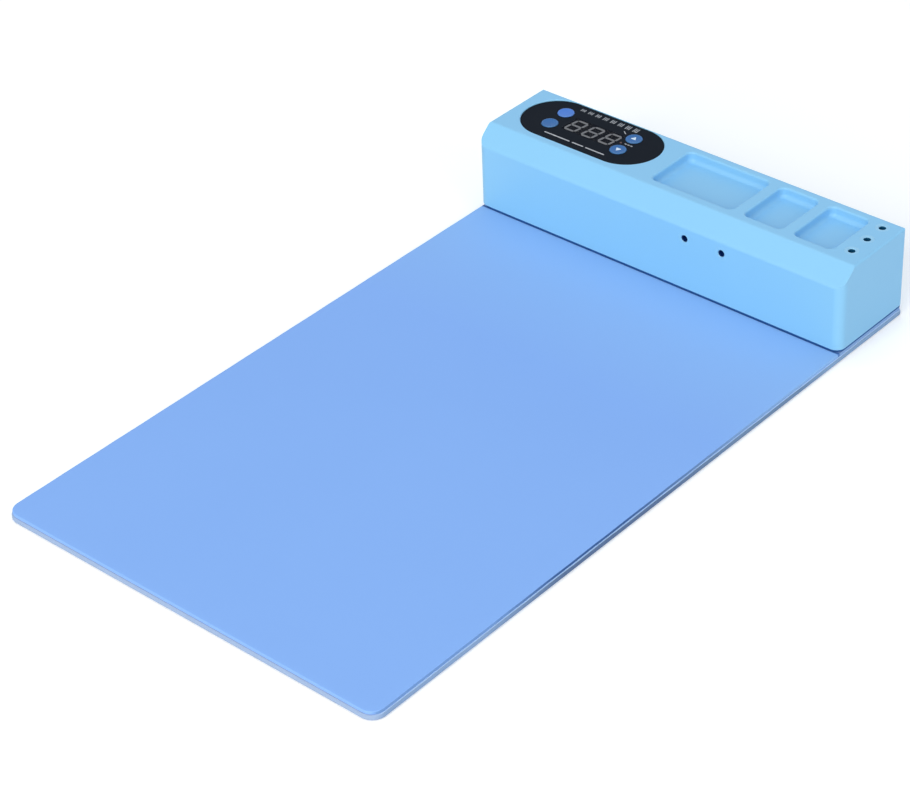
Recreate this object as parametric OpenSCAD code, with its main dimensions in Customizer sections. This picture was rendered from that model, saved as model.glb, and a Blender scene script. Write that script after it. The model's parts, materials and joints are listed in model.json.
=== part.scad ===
// Heated screen-separating mat: a silicone heating mat with its control housing across the far end.
// Millimetres. Z is up from the table, Y runs from the user's edge back to the housing,
// X runs along the housing. The origin is the centre of the mat's footprint, on the table.

/* [Mat] */
// Width of the mat, along the housing
mat_w = 201.5; // [200:0.5:204]
// Length of the mat, from the user's edge to the back
mat_l = 346; // [342:1:360]
// Radius of the mat's two front corners
mat_front_r = 6.5; // [5:0.5:12]
// Radius of the mat's two back corners
mat_back_r = 2.2; // [2:0.1:6]
// Thickness of the lower silicone sheet
base_t = 2.6; // [2.6:0.1:3.4]
// Thickness of the upper silicone pad
pad_t = 1.6; // [1.4:0.1:2.4]
// Ledge of the lower sheet left showing round the pad
ledge = 0.5; // [0.4:0.1:1.2]

/* [Heater] */
// Distance from the mat's sides to the heated stack
heater_margin = 8; // [7:0.5:14]
// Length of the heated stack
heater_l = 282; // [240:1:282]
// Spacing of the heating track's runs
track_pitch = 11; // [9:0.5:14]
// Width of the heating track
track_w = 6; // [3:0.5:7]

/* [Housing] */
// Length of the housing, along X
case_w = 202.2; // [200.6:0.2:203]
// Sideways shift of the housing on the mat
case_shift = -0.7; // [-1:0.1:0]
// Depth of the housing, front to back
case_d = 47.9; // [46.5:0.1:48.3]
// Height of the housing's top above the table
case_top = 44.4; // [44:0.1:46]
// Inset of the housing's back from the mat's back edge
case_inset = 0.5; // [0.3:0.1:1.5]
// Wall thickness of the moulded cover
wall = 2.2; // [2:0.1:2.4]
// Depth of the bevel along the front top edge, from the front back over the top
bevel_d = 9.3; // [6.5:0.1:9.8]
// Height of the bevel along the front top edge
bevel_h = 8; // [6:0.1:8.4]
// Radius of the two front upright edges
front_r = 4.5; // [2.5:0.5:5]
// Radius of the small edges
edge_r = 1; // [0.4:0.1:1.2]
// Height of the dark shadow gap under the cover
gap = 0.9; // [0.6:0.1:1]

/* [Parts pockets] */
// Depth of the three pockets in the top
pocket_deep = 4.8; // [4.4:0.1:5.2]
// Length of the long pocket
pocket_long = 44.6; // [40:0.2:45]
// Length of each of the two short pockets
pocket_short = 20.4; // [18:0.2:21]
// Front-to-back width of the pockets
pocket_w = 29.5; // [24:0.5:30]
// Wall between two pockets
pocket_rib = 5.9; // [5:0.1:6.5]
// Corner radius of the pockets
pocket_r = 3; // [2.5:0.1:4]
// Radius of the soft edge round each pocket's mouth
pocket_lip = 0.9; // [0.4:0.1:1.1]

/* [Tool and wire holes] */
// Radius of the tool holes and of the cutting-wire holes
hole_r = 1.6; // [1.2:0.1:1.8]
// Spacing of the three tool holes
tool_pitch = 11.6; // [10:0.1:11.8]
// Depth of the tool holes
tool_deep = 23.4; // [15:0.2:23.4]
// Spacing of the two cutting-wire holes
wire_pitch = 20; // [16:1:24]
// Depth of the cutting-wire holes
wire_deep = 8.6; // [6:0.1:9]

/* [Control panel] */
// Length of the round-ended panel
panel_l = 74.4; // [71:0.2:75]
// Width of the round-ended panel
panel_w = 33.9; // [32.5:0.1:34]
// Depth of the panel's recess in the cover
panel_deep = 1.2; // [1:0.1:1.5]
// Thickness of the panel sheet
panel_t = 0.7; // [0.5:0.1:0.9]
// Radius of a key's cap
key_r = 3.95; // [3.5:0.05:4]
// Distance between the left and right keys
key_span = 39.8; // [39.6:0.1:40.6]
// Distance between the front and back keys
key_rise = 11.8; // [10.8:0.1:12.2]
// Height of a displayed digit, between the middles of its top and bottom bars
digit_h = 9; // [8:0.1:9.4]
// Spacing of the three digits
digit_pitch = 9.8; // [9.2:0.1:9.8]

/* [Rear] */
// Place of the mains inlet along the housing, from its middle
inlet_x = 60; // [58:1:62]
// Place of the rocker switch along the housing, from its middle
rocker_x = 18; // [17:0.5:20]
// Swing of the rocker between off and on
rocker_swing = 24; // [16:1:26]

/* [Hidden] */
$fn = 48;

// Heights through the mat
base_floor = 1;
felt_t = 0.6;
film_t = 0.2;
track_t = 0.1;
plate_t = 0.7;
film_z = base_floor + felt_t;
track_z = film_z + film_t;
plate_z = track_z + track_t;
mat_top = base_t + pad_t;
edge_base = 0.8;
edge_pad = 0.45;

// The heated stack, its tongue under the housing and the slot for the leads
heater_w = mat_w - 2 * heater_margin;
heater_y0 = -mat_l / 2 + heater_margin;
heater_y1 = heater_y0 + heater_l;
// An even number of runs, so that the track ends at the back on both sides
track_side = 4;
track_runs = 2 * floor((heater_w - 2 * track_side - track_w + track_pitch) / track_pitch / 2);
tongue_x = 14;
tongue_w = 20;
tongue_y1 = 143;
lead_y = 139.5;
lead_slot = [20, 12];
grommet_slot = [14, 6];
grommet_hole = [11, 3.2];
grommet_lip = 1.5;
sensor_size = [3, 12, 0.6];
sensor_y = 100;
lead_span = 7;

// Housing faces and hollow
case_x0 = case_shift - case_w / 2;
case_x1 = case_shift + case_w / 2;
case_y1 = mat_l / 2 - case_inset;
case_y0 = case_y1 - case_d;
case_z0 = mat_top + gap;
case_h = case_top - case_z0;
inner_top = case_top - wall;
tray_t = 1;
tray_top = mat_top + tray_t;

// Screw bosses of the cover, three along the front and three along the back
boss_r = 3.2;
boss_x = [case_x0 + 7.5, 0, case_x1 - 7.5];
boss_y = [case_y0 + 6, case_y1 - 6];
boss_top = 17;
screw_r = 1.45;
screw_play = 0.3;
screw_head_r = 2.9;
screw_head_z = 0.5;
screw_seat_z = 1.9;

// Pockets, measured from the left end of the cover
pocket_x0 = case_x0 + 89.6;
pocket_y1 = case_y1 - 4.5;
pocket_y0 = pocket_y1 - pocket_w;
pocket_fillet = 2;
pockets = [
    [pocket_x0, pocket_long],
    [pocket_x0 + pocket_long + pocket_rib, pocket_short],
    [pocket_x0 + pocket_long + pocket_short + 2 * pocket_rib, pocket_short]
];

// Tool holes along the right end and wire holes in the front face
tool_x = case_x1 - 8.2;
tool_y1 = case_y1 - 6.2;
tool_ys = [for (i = [0:2]) tool_y1 - i * tool_pitch];
sleeve_r = 3.1;
sleeve_play = 0.04;
sleeve_end = 1.5;
collar_r = 3.9;
collar_t = 1.5;
wire_x0 = 17.2;
wire_z = 30.7;
wire_xs = [wire_x0, wire_x0 + wire_pitch];
mouth = 0.3;

// Control panel: places of its keys, its display and its board
panel_x = case_x0 + 43.1;
panel_y = case_y1 - 17.65;
panel_play = 0.2;
panel_rim = 0.3;
panel_floor = case_top - panel_deep;
panel_top = panel_floor + panel_t;
floor_t = 2.2;
floor_low = panel_floor - floor_t;
key_x = panel_x - 0.8;
key_y = panel_y + 1.05;
key_gap = 0.2;
key_proud = 0.4;
key_flange_r = 4.6;
key_flange_t = 0.8;
key_rest_gap = 0.1;
display_x = panel_x + 0.4;
display_y = panel_y + 0.45;
window = [28, 11.6];
led_x = display_x + 15.7;
led_r = 0.75;
digit_w = 5.8;
digit_bar = 1.15;
digit_slant = 8;
module_size = [27.6, 14];
module_top = panel_floor - 0.8;
digit_t = 0.15;
led_y = key_y;

board_t = 1.6;
display_board_z = 32.8;
display_board_top = display_board_z + board_t;
display_board_size = [66, 30];
display_board_x = panel_x - 0.6;
display_board_y = panel_y - 0.35;
pillar_dx = 28.5;
pillar_dy = 11.5;
pillar_r = 2.6;
pilot_r = 1.1;
switch_size = 6;
switch_h = 3.5;
plunger_r = 1.75;
plunger_top = display_board_top + 4.9;

// Ribs inside the cover, its gasket and its tray
rib_t = 1.4;
rib_deep = 3;
rib_h = 20;
rib_z = 13;
rib_pitch = 25;
gasket_inset = 0.3;
gasket_w = 1.8;
gasket_x0 = max(case_x0 + gasket_inset, ledge + 0.1 - mat_w / 2);
gasket_x1 = min(case_x1 - gasket_inset, mat_w / 2 - ledge - 0.1);
gasket_y0 = case_y0 + gasket_inset;
gasket_y1 = min(case_y1 - gasket_inset, mat_l / 2 - ledge - 0.1);
groove_deep = 0.2;
groove_margin = 0.3;
tray_inset = gasket_w + 0.7;
tray_y = [gasket_y0 + tray_inset, gasket_y1 - tray_inset];
tray_flange = 7;

// Main board and what stands on it
main_x0 = -84;
main_x1 = -6;
main_y0 = 132;
main_y1 = 166;
standoff_h = 5;
main_z = tray_top + standoff_h;
main_top = main_z + board_t;
board_holes = [for (x = [main_x0 + 3.5, main_x1 - 3.5], y = [main_y0 + 3.5, main_y1 - 3]) [x, y]];
ribbon_x = -71;
ribbon_w = 7.6;
ribbon_t = 0.9;
socket_h = 5.4;
main_socket_y = 136;
panel_socket_y = 141.5;
terminal_pitch = 5.1;
terminal_ways = 4;
terminal_x1 = main_x1 - 1.5;
terminal_y0 = 139.5;
terminal_z = main_top + 4;
terminal_ys = [for (i = [0:terminal_ways - 1]) terminal_y0 + terminal_pitch * (i + 0.5)];

wire_r = 0.9;
sensor_wire_r = 0.3;
fuse_x = -51;
fuse_y = 137.5;
fuse_z = main_top + 4;
fuse_r = 2.6;
sensor_socket_at = [-27, 163];
earth_at = [76, 151];
earth_z = tray_top + 1.5;

// Rear fittings
rear_z = 23.5;
flange_t = 2;
inlet_body = [27.4, 19.8];
inlet_deep = 20;
socket_size = [24.2, 16.4];
socket_deep = 16;
blade = [2, 4];
blade_span = 14;
blade_rise = 2;
inlet_tab_l = 7.5;
inlet_hole_span = 40;
switch_body = [13.4, 18.8];
switch_deep = 15;
bezel_size = [15.4, 21];
bezel_t = 1.8;
rocker_w = 10.6;
rocker_open = [11, 16.4];
rocker_r = 7.9;
pivot_in = 1;
pivot_r = 1;
pivot_hole_r = 1.05;
pivot_y = case_y1 - pivot_in;
tab = [4.8, 7.5, 0.8];
tab_rise = 5.5;

// Ends of the wires
inlet_tab_y = case_y1 - inlet_deep - inlet_tab_l;
rocker_tab_y = case_y1 - switch_deep - tab[1];
wire_end_x = terminal_x1 - 3.5;

// Colours
pad_blue = "#86aef8";
base_blue = "#7d9bd6";
cover_blue = "#86c1f2";
sleeve_blue = "#a5d3f8";
panel_black = "#14161f";
key_blue = "#2f7fc6";
copper = "#c07a45";
board_green = "#1d6b45";

// Outlines

module round_rect(w, l, r) {
    square([w - 2 * r, l], center = true);
    square([w, l - 2 * r], center = true);
    for (sx = [-1, 1], sy = [-1, 1])
        translate([sx * (w / 2 - r), sy * (l / 2 - r)])
            circle(r);
}

module stadium(l, w) {
    square([l - w, w], center = true);
    for (s = [-1, 1])
        translate([s * (l - w) / 2, 0])
            circle(w / 2);
}

// Points of an outline whose corners are rounded: each corner is [x, y, radius]
function unit(v) = v / norm(v);
function corner_arc(a, b, c, steps) =
    let (p = [b[0], b[1]])
    let (u = unit([a[0], a[1]] - p))
    let (v = unit([c[0], c[1]] - p))
    let (half = acos(u * v) / 2)
    let (mid = p + unit(u + v) * b[2] / sin(half))
    let (from = p + u * b[2] / tan(half) - mid)
    let (to = p + v * b[2] / tan(half) - mid)
    let (turn = acos(unit(from) * unit(to)))
    [for (i = [0:steps]) mid + (from * sin(turn * (1 - i / steps)) + to * sin(turn * i / steps)) / sin(turn)];
function rounded(corners, steps = 4) = [
    for (i = [0:len(corners) - 1])
        let (n = len(corners), b = corners[i])
        each b[2] == 0 ? [[b[0], b[1]]]
            : corner_arc(corners[(i + n - 1) % n], b, corners[(i + 1) % n], steps)
];

// Smooth route through hand-placed points: it starts and ends on the first and last of them
function route(p, steps = 4) = concat(
    [p[0]],
    [
        for (i = [1:len(p) - 2], s = [0:steps])
            if (s > 0 || i == 1)
                let (t = s / steps, a = (p[i - 1] + p[i]) / 2, b = (p[i] + p[i + 1]) / 2)
                a * pow(1 - t, 2) + p[i] * 2 * t * (1 - t) + b * pow(t, 2)
    ],
    [p[len(p) - 1]]
);

// Direction of the route at each point, and a side vector carried along it without twist
function heading(p, i) = unit(p[min(i + 1, len(p) - 1)] - p[max(i - 1, 0)]);
function level(v, t) = unit(v - t * (v * t));
function sides(p, v, i = 0) =
    i == len(p) ? [] : let (s = level(v, heading(p, i))) concat([s], sides(p, s, i + 1));

// A round wire swept along its route
module wire(p, r, start_side = [0, 0, 1]) {
    ring = 8;
    s = sides(p, start_side);
    points = [
        for (i = [0:len(p) - 1], k = [0:ring - 1])
            let (t = heading(p, i), a = k * 360 / ring)
            p[i] + r * (s[i] * cos(a) + cross(t, s[i]) * sin(a))
    ];
    faces = concat(
        [[for (k = [0:ring - 1]) k]],
        [
            for (i = [0:len(p) - 2], k = [0:ring - 1])
                let (a = i * ring + k, b = i * ring + (k + 1) % ring)
                [b, a, a + ring, b + ring]
        ],
        [[for (k = [0:ring - 1]) len(p) * ring - 1 - k]]
    );
    polyhedron(points, faces);
}

// A plan whose corners have one radius at the front and another at the back
module plan(x, y, front, back) {
    w = x[1] - x[0];
    translate([x[0], y[0] + front])
        square([w, y[1] - y[0] - front - back]);
    translate([x[0] + front, y[0]])
        square([w - 2 * front, 2 * front]);
    translate([x[0] + back, y[1] - 2 * back])
        square([w - 2 * back, 2 * back]);
    for (cx = [x[0] + front, x[1] - front])
        translate([cx, y[0] + front])
            circle(front);
    for (cx = [x[0] + back, x[1] - back])
        translate([cx, y[1] - back])
            circle(back);
}

// Edge of a soft sheet in section: a little of its flat, then rounded by e at the outside
module sheet_edge(t, e) {
    lap = 0.3;
    translate([-lap, 0])
        square([lap, t]);
    translate([0, e])
        square([e, t - 2 * e]);
    intersection() {
        translate([-lap, 0])
            square([lap + e, t]);
        union()
            for (y = [e, t - e])
                translate([0, y])
                    circle(e);
    }
}

// A sheet with softly rounded top and bottom edges
module soft_sheet(w, l, t, front, back, e) {
    linear_extrude(t)
        plan([e - w / 2, w / 2 - e], [e - l / 2, l / 2 - e], front - e, back - e);
    for (s = [-1, 1])
        translate([0, (front - back) / 2, 0])
            mirror([s < 0 ? 1 : 0, 0, 0])
                translate([w / 2 - e, 0, 0])
                    rotate([90, 0, 0])
                        linear_extrude(l - front - back, center = true)
                            sheet_edge(t, e);
    for (s = [-1, 1])
        rotate(s * 90)
            translate([l / 2 - e, 0, 0])
                rotate([90, 0, 0])
                    linear_extrude(w - 2 * (s < 0 ? front : back), center = true)
                        sheet_edge(t, e);
    for (c = [[1, 1, 0, back], [-1, 1, 90, back], [-1, -1, 180, front], [1, -1, 270, front]])
        translate([c[0] * (w / 2 - c[3]), c[1] * (l / 2 - c[3]), 0])
            rotate(c[2])
                rotate_extrude(angle = 90)
                    translate([c[3] - e, 0])
                        sheet_edge(t, e);
}

module at_bosses() {
    for (x = boss_x, y = boss_y)
        translate([x, y, 0])
            children();
}

module at_board_holes() {
    for (p = board_holes)
        translate([p[0], p[1], 0])
            children();
}

module at_pillars() {
    for (sx = [-1, 1], sy = [-1, 1])
        translate([display_board_x + sx * pillar_dx, display_board_y + sy * pillar_dy, 0])
            children();
}

module at_key(side, row) {
    translate([key_x + side * key_span / 2, key_y + row * key_rise / 2, 0])
        children();
}

module at_keys() {
    for (side = [-1, 1], row = [-1, 1])
        at_key(side, row)
            children();
}

// Turns what is drawn in the XY plane to stand across Y, facing back, at the rear fittings' height
module on_back(x, y) {
    translate([x, y, rear_z])
        rotate([90, 0, 180])
            children();
}

// Mat

module heater_area(grow = 0) {
    translate([0, (heater_y0 + heater_y1) / 2])
        round_rect(heater_w + 2 * grow, heater_l + 2 * grow, 4);
}

module tongue_area(grow = 0) {
    translate([tongue_x - tongue_w / 2 - grow, heater_y1 - 6])
        square([tongue_w + 2 * grow, tongue_y1 - heater_y1 + 6 + grow]);
}

module base_sheet() {
    color(base_blue)
        difference() {
            soft_sheet(mat_w, mat_l, base_t, mat_front_r, mat_back_r, edge_base);
            translate([0, 0, base_floor])
                linear_extrude(base_t)
                    heater_area();
            translate([0, 0, base_floor])
                linear_extrude(base_t)
                    tongue_area();
            at_bosses() {
                translate([0, 0, -1])
                    cylinder(h = screw_seat_z + 1, r = screw_head_r + 0.4);
                cylinder(h = mat_top, r = screw_r + screw_play);
            }
        }
}

module insulation_felt() {
    color("#d8d3c4")
        translate([0, 0, base_floor])
            linear_extrude(felt_t) {
                heater_area(-0.2);
                tongue_area(-0.2);
            }
}

module heater_film() {
    color("#c8862f")
        translate([0, 0, film_z])
            linear_extrude(film_t) {
                heater_area(-0.2);
                tongue_area(-0.2);
            }
}

module track_outline() {
    x0 = -(track_runs - 1) / 2 * track_pitch - track_w / 2;
    y0 = heater_y0 + 6;
    link_y = heater_y1 - 20;
    bus_y = heater_y1 - 9;
    bus_w = 4;
    bus_l = tongue_x - lead_span / 2 - x0;
    // Runs, of which the first and last go on to the two buses
    for (i = [0:track_runs - 1])
        translate([x0 + i * track_pitch, y0])
            square([track_w, (i == 0 || i == track_runs - 1 ? bus_y + bus_w : link_y + track_w) - y0]);
    // Links, in turn at the front and at the back
    for (i = [0:track_runs - 2])
        translate([x0 + i * track_pitch, i % 2 == 0 ? y0 : link_y])
            square([track_pitch + track_w, track_w]);
    translate([x0, bus_y])
        square([bus_l, bus_w]);
    translate([tongue_x + lead_span / 2, bus_y])
        square([-x0 - tongue_x - lead_span / 2, bus_w]);
    // Solder pads on the tongue
    for (s = [-1, 1])
        translate([tongue_x + s * lead_span / 2 - 1.5, bus_y])
            square([3, tongue_y1 - 3 - bus_y]);
}

module heater_track() {
    color(copper)
        translate([0, 0, track_z])
            linear_extrude(track_t)
                track_outline();
}

module spreader_plate() {
    color("silver")
        translate([0, 0, plate_z])
            linear_extrude(plate_t)
                difference() {
                    heater_area(-0.2);
                    translate([tongue_x - 2.5, sensor_y])
                        square([5, heater_l]);
                }
}

// The pad's groove takes the gasket and ends the work face just in front of the housing
module silicone_pad() {
    color(pad_blue)
        translate([0, 0, base_t])
            difference() {
                soft_sheet(mat_w - 2 * ledge, mat_l - 2 * ledge, pad_t,
                    mat_front_r - ledge, mat_back_r - ledge, edge_pad);
                translate([tongue_x, lead_y, -1])
                    linear_extrude(pad_t + 2)
                        round_rect(lead_slot[0], lead_slot[1], 2);
                at_bosses()
                    translate([0, 0, -1])
                        cylinder(h = pad_t + 2, r = screw_r + screw_play);
                translate([0, 0, pad_t - groove_deep])
                    linear_extrude(1)
                        difference() {
                            case_plan(groove_margin);
                            gasket_plan(gasket_w + 0.05);
                        }
            }
}

module mat_sensor() {
    color("#b5762a")
        translate([tongue_x, sensor_y + 1 + sensor_size[1] / 2, plate_z])
            linear_extrude(sensor_size[2])
                round_rect(sensor_size[0], sensor_size[1], 1);
}

// Housing

module case_plan(grow = 0) {
    plan([case_x0 - grow, case_x1 + grow], [case_y0 - grow, case_y1 + grow], front_r, edge_r + 0.4);
}

module gasket_plan(inset) {
    plan([gasket_x0 + inset, gasket_x1 - inset], [gasket_y0 + inset, gasket_y1 - inset],
        front_r, edge_r + 0.4);
}

// The cover's outer form: its side view, front view and plan, each with its own roundings
module case_form() {
    intersection() {
        rotate([90, 0, 90])
            linear_extrude(case_w + 4, center = true)
                polygon(rounded([
                    [case_y0, case_z0, 0],
                    [case_y1, case_z0, 0],
                    [case_y1, case_top, edge_r],
                    [case_y0 + bevel_d, case_top, 2 * edge_r],
                    [case_y0, case_top - bevel_h, 2 * edge_r]
                ]));
        translate([0, case_y1 + 1, 0])
            rotate([90, 0, 0])
                linear_extrude(case_d + 2)
                    polygon(rounded([
                        [case_x0, case_z0, 0],
                        [case_x1, case_z0, 0],
                        [case_x1, case_top, edge_r],
                        [case_x0, case_top, edge_r]
                    ]));
        translate([0, 0, case_z0 - 1])
            linear_extrude(case_h + 2)
                case_plan();
    }
}

// The hollow follows the side view one wall further in
module case_hollow() {
    slope = norm([bevel_d, bevel_h]);
    y0 = case_y0 + wall;
    y1 = case_y1 - wall;
    translate([case_x0 + wall, 0, 0])
        rotate([90, 0, 90])
            linear_extrude(case_w - 2 * wall)
                polygon([
                    [y0, case_z0 - 1],
                    [y1, case_z0 - 1],
                    [y1, inner_top],
                    [case_y0 + bevel_d + wall * (slope - bevel_d) / bevel_h, inner_top],
                    [y0, case_top - bevel_h - wall * (slope - bevel_h) / bevel_d]
                ]);
}

module pocket_wells() {
    for (p = pockets)
        translate([p[0] + p[1] / 2, (pocket_y0 + pocket_y1) / 2, case_top - pocket_deep - wall])
            linear_extrude(pocket_deep)
                round_rect(p[1] + 2 * wall, pocket_w + 2 * wall, pocket_r + wall);
}

// Edge of a pocket's hollow in section: its wall at x = 0 and its floor at y = 0,
// with a hollow fillet below and a soft lip above
module pocket_edge(inner) {
    fillet = pocket_fillet;
    lip = pocket_lip;
    translate([-inner, fillet])
        square([inner, pocket_deep - fillet + 1]);
    translate([-inner, 0])
        square([inner - fillet, fillet]);
    intersection() {
        translate([-fillet, 0])
            square(fillet);
        translate([-fillet, fillet])
            circle(fillet);
    }
    difference() {
        translate([0, pocket_deep - lip])
            square([lip, lip + 1]);
        translate([lip, pocket_deep - lip])
            circle(lip);
    }
}

// One pocket's hollow, its edge swept round a core
module pocket_hollow(l) {
    inner = pocket_fillet + 0.4;
    linear_extrude(pocket_deep + 1)
        round_rect(l - 2 * inner + 0.2, pocket_w - 2 * inner + 0.2, pocket_r - inner + 0.1);
    for (a = [0, 180])
        rotate(a) {
            translate([l / 2, 0, 0])
                rotate([90, 0, 0])
                    linear_extrude(pocket_w - 2 * pocket_r, center = true)
                        pocket_edge(inner);
            rotate(90)
                translate([pocket_w / 2, 0, 0])
                    rotate([90, 0, 0])
                        linear_extrude(l - 2 * pocket_r, center = true)
                            pocket_edge(inner);
        }
    for (c = [[1, 1, 0], [-1, 1, 90], [-1, -1, 180], [1, -1, 270]])
        translate([c[0] * (l / 2 - pocket_r), c[1] * (pocket_w / 2 - pocket_r), 0])
            rotate(c[2])
                rotate_extrude(angle = 90)
                    translate([pocket_r, 0])
                        pocket_edge(inner);
}

module pocket_hollows() {
    for (p = pockets)
        translate([p[0] + p[1] / 2, (pocket_y0 + pocket_y1) / 2, case_top - pocket_deep])
            pocket_hollow(p[1]);
}

// Under the panel the top wall steps down and keeps its thickness
module panel_seat() {
    intersection() {
        case_form();
        translate([panel_x, panel_y, floor_low])
            linear_extrude(wall)
                stadium(panel_l + 2 * wall, panel_w + 2 * wall);
    }
}

module panel_hollows() {
    r = panel_w / 2 + panel_play;
    rim = panel_rim + 0.1;
    straight = panel_l - panel_w;
    translate([panel_x, panel_y, panel_floor])
        linear_extrude(panel_deep + 1)
            stadium(panel_l + 2 * panel_play, 2 * r);
    // Small bevel round the recess
    translate([panel_x, panel_y, case_top - panel_rim]) {
        rotate([90, 0, 90])
            linear_extrude(straight, center = true)
                polygon([[-r, 0], [r, 0], [r + rim, rim], [-r - rim, rim]]);
        for (s = [-1, 1])
            translate([s * straight / 2, 0, 0])
                cylinder(h = rim, r1 = r, r2 = r + rim);
    }
    translate([display_x, display_y, floor_low - 1])
        linear_extrude(floor_t + 2)
            square(module_size + [0.5, 0.5], center = true);
    at_keys()
        translate([0, 0, floor_low - 1])
            cylinder(h = floor_t + 2, r = key_r + key_gap);
    translate([led_x, led_y, floor_low - 1])
        cylinder(h = floor_t + 2, r = led_r + 0.2);
}

module tool_bores() {
    for (y = tool_ys)
        translate([tool_x, y, case_top - tool_deep]) {
            cylinder(h = tool_deep + 1, r = hole_r);
            translate([0, 0, tool_deep - mouth])
                cylinder(h = mouth + 0.1, r1 = hole_r, r2 = hole_r + mouth + 0.1);
        }
}

module at_wire_holes() {
    for (x = wire_xs)
        translate([x, case_y0, wire_z])
            rotate([-90, 0, 0])
                children();
}

module wire_bores() {
    at_wire_holes() {
        translate([0, 0, -1])
            cylinder(h = wire_deep + 1, r = hole_r);
        translate([0, 0, -0.1])
            cylinder(h = mouth + 0.1, r1 = hole_r + mouth + 0.1, r2 = hole_r);
    }
}

// Round openings of the cover that the sleeves fill
module sleeve_openings() {
    for (y = tool_ys)
        translate([tool_x, y, inner_top - 1])
            cylinder(h = wall + 2, r = sleeve_r + sleeve_play);
    at_wire_holes()
        translate([0, 0, -1])
            cylinder(h = wall + 2, r = sleeve_r + sleeve_play);
}

// Bosses for the screws from below, each held by a web to the nearest long wall
module case_bosses() {
    at_bosses()
        translate([0, 0, tray_top])
            cylinder(h = boss_top - tray_top, r = boss_r);
    for (x = boss_x, side = [0, 1])
        translate([x - 0.8, side == 0 ? case_y0 + wall / 2 : boss_y[1], tray_top])
            cube([1.6, boss_y[0] - case_y0 - wall / 2, boss_top - tray_top - 1.5]);
    for (x = [case_x0 + wall / 2, boss_x[2]], y = boss_y)
        translate([x, y - 0.8, tray_top])
            cube([boss_x[0] - case_x0 - wall / 2, 1.6, boss_top - tray_top - 1.5]);
}

module boss_pilots() {
    at_bosses()
        translate([0, 0, case_z0 - 1])
            cylinder(h = boss_top - case_z0, r = screw_r + 0.05);
}

// Upright ribs inside the long walls, tapered at both ends
module wall_rib() {
    rotate([90, 0, 90])
        linear_extrude(rib_t, center = true)
            polygon([
                [-1, 0], [0, 0], [rib_deep, rib_deep], [rib_deep, rib_h - rib_deep], [0, rib_h], [-1, rib_h]
            ]);
}

module wall_ribs() {
    for (i = [-3:3])
        if (i != 0)
            translate([i * rib_pitch, case_y0 + wall, rib_z])
                wall_rib();
    for (i = [-3:-1])
        translate([i * rib_pitch, case_y1 - wall, rib_z])
            rotate(180)
                wall_rib();
}

module display_pillars() {
    at_pillars()
        translate([0, 0, display_board_top])
            cylinder(h = floor_low - display_board_top + 0.5, r = pillar_r);
}

module pillar_pilots() {
    at_pillars()
        translate([0, 0, display_board_top - 1])
            cylinder(h = 7, r = pilot_r);
}

module inlet_opening() {
    on_back(inlet_x, case_y1)
        translate([0, 0, -wall - 1]) {
            linear_extrude(wall + 2)
                square(inlet_body + [0.4, 0.4], center = true);
            for (s = [-1, 1])
                translate([s * inlet_hole_span / 2, 0, 0])
                    cylinder(h = wall + 2, r = 1.7);
        }
}

module rocker_opening() {
    on_back(rocker_x, case_y1)
        translate([0, 0, -wall - 1])
            linear_extrude(wall + 2)
                square(switch_body + [0.4, 0.4], center = true);
}

module top_cover() {
    color(cover_blue)
        difference() {
            union() {
                difference() {
                    case_form();
                    case_hollow();
                }
                pocket_wells();
                panel_seat();
                case_bosses();
                wall_ribs();
                display_pillars();
            }
            pocket_hollows();
            panel_hollows();
            sleeve_openings();
            boss_pilots();
            pillar_pilots();
            inlet_opening();
            rocker_opening();
        }
}

// Three blind tubes behind the tool holes in one moulded piece, flush with the cover's top
module tool_sleeves() {
    low = case_top - tool_deep - sleeve_end;
    color(sleeve_blue)
        difference() {
            union() {
                for (y = tool_ys)
                    translate([tool_x, y, low]) {
                        cylinder(h = case_top - low, r = sleeve_r);
                        translate([0, 0, inner_top - low - collar_t])
                            cylinder(h = collar_t, r = collar_r);
                    }
                translate([tool_x - 0.7, tool_ys[2], low + 3])
                    cube([1.4, tool_ys[0] - tool_ys[2], inner_top - low - 3]);
            }
            tool_bores();
        }
}

// Two blind tubes behind the wire holes, flush with the cover's front
module wire_sleeves() {
    color(cover_blue)
        difference() {
            at_wire_holes() {
                cylinder(h = wire_deep + sleeve_end, r = sleeve_r);
                translate([0, 0, wall])
                    cylinder(h = collar_t, r = collar_r);
            }
            wire_bores();
        }
}

module cover_gasket() {
    color("#1d3f66")
        translate([0, 0, mat_top - groove_deep])
            linear_extrude(gap + groove_deep)
                difference() {
                    gasket_plan(0);
                    gasket_plan(gasket_w);
                }
}

// Sheet-metal tray: a flat floor with stiffening flanges bent up along its long edges
module chassis_tray() {
    color("#b9bec4") {
        translate([0, 0, mat_top])
            linear_extrude(tray_t)
                difference() {
                    gasket_plan(tray_inset);
                    for (x = boss_x, y = boss_y)
                        translate([x, y])
                            circle(screw_r + screw_play);
                    translate([tongue_x, lead_y])
                        stadium(grommet_slot[0], grommet_slot[1]);
                }
        for (i = [0, 1], side = [0, 1])
            translate([(boss_x[i] + boss_x[i + 1]) / 2, tray_y[side], mat_top])
                rotate([90, 0, side == 0 ? 90 : -90])
                    linear_extrude(boss_x[i + 1] - boss_x[i] - 2 * (boss_r + 1), center = true)
                        polygon(rounded([
                            [0, 0, 1.4], [3, 0, 0], [3, tray_t, 0], [tray_t, tray_t, 0.4],
                            [tray_t, tray_flange, 0], [0, tray_flange, 0]
                        ]));
    }
}

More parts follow.
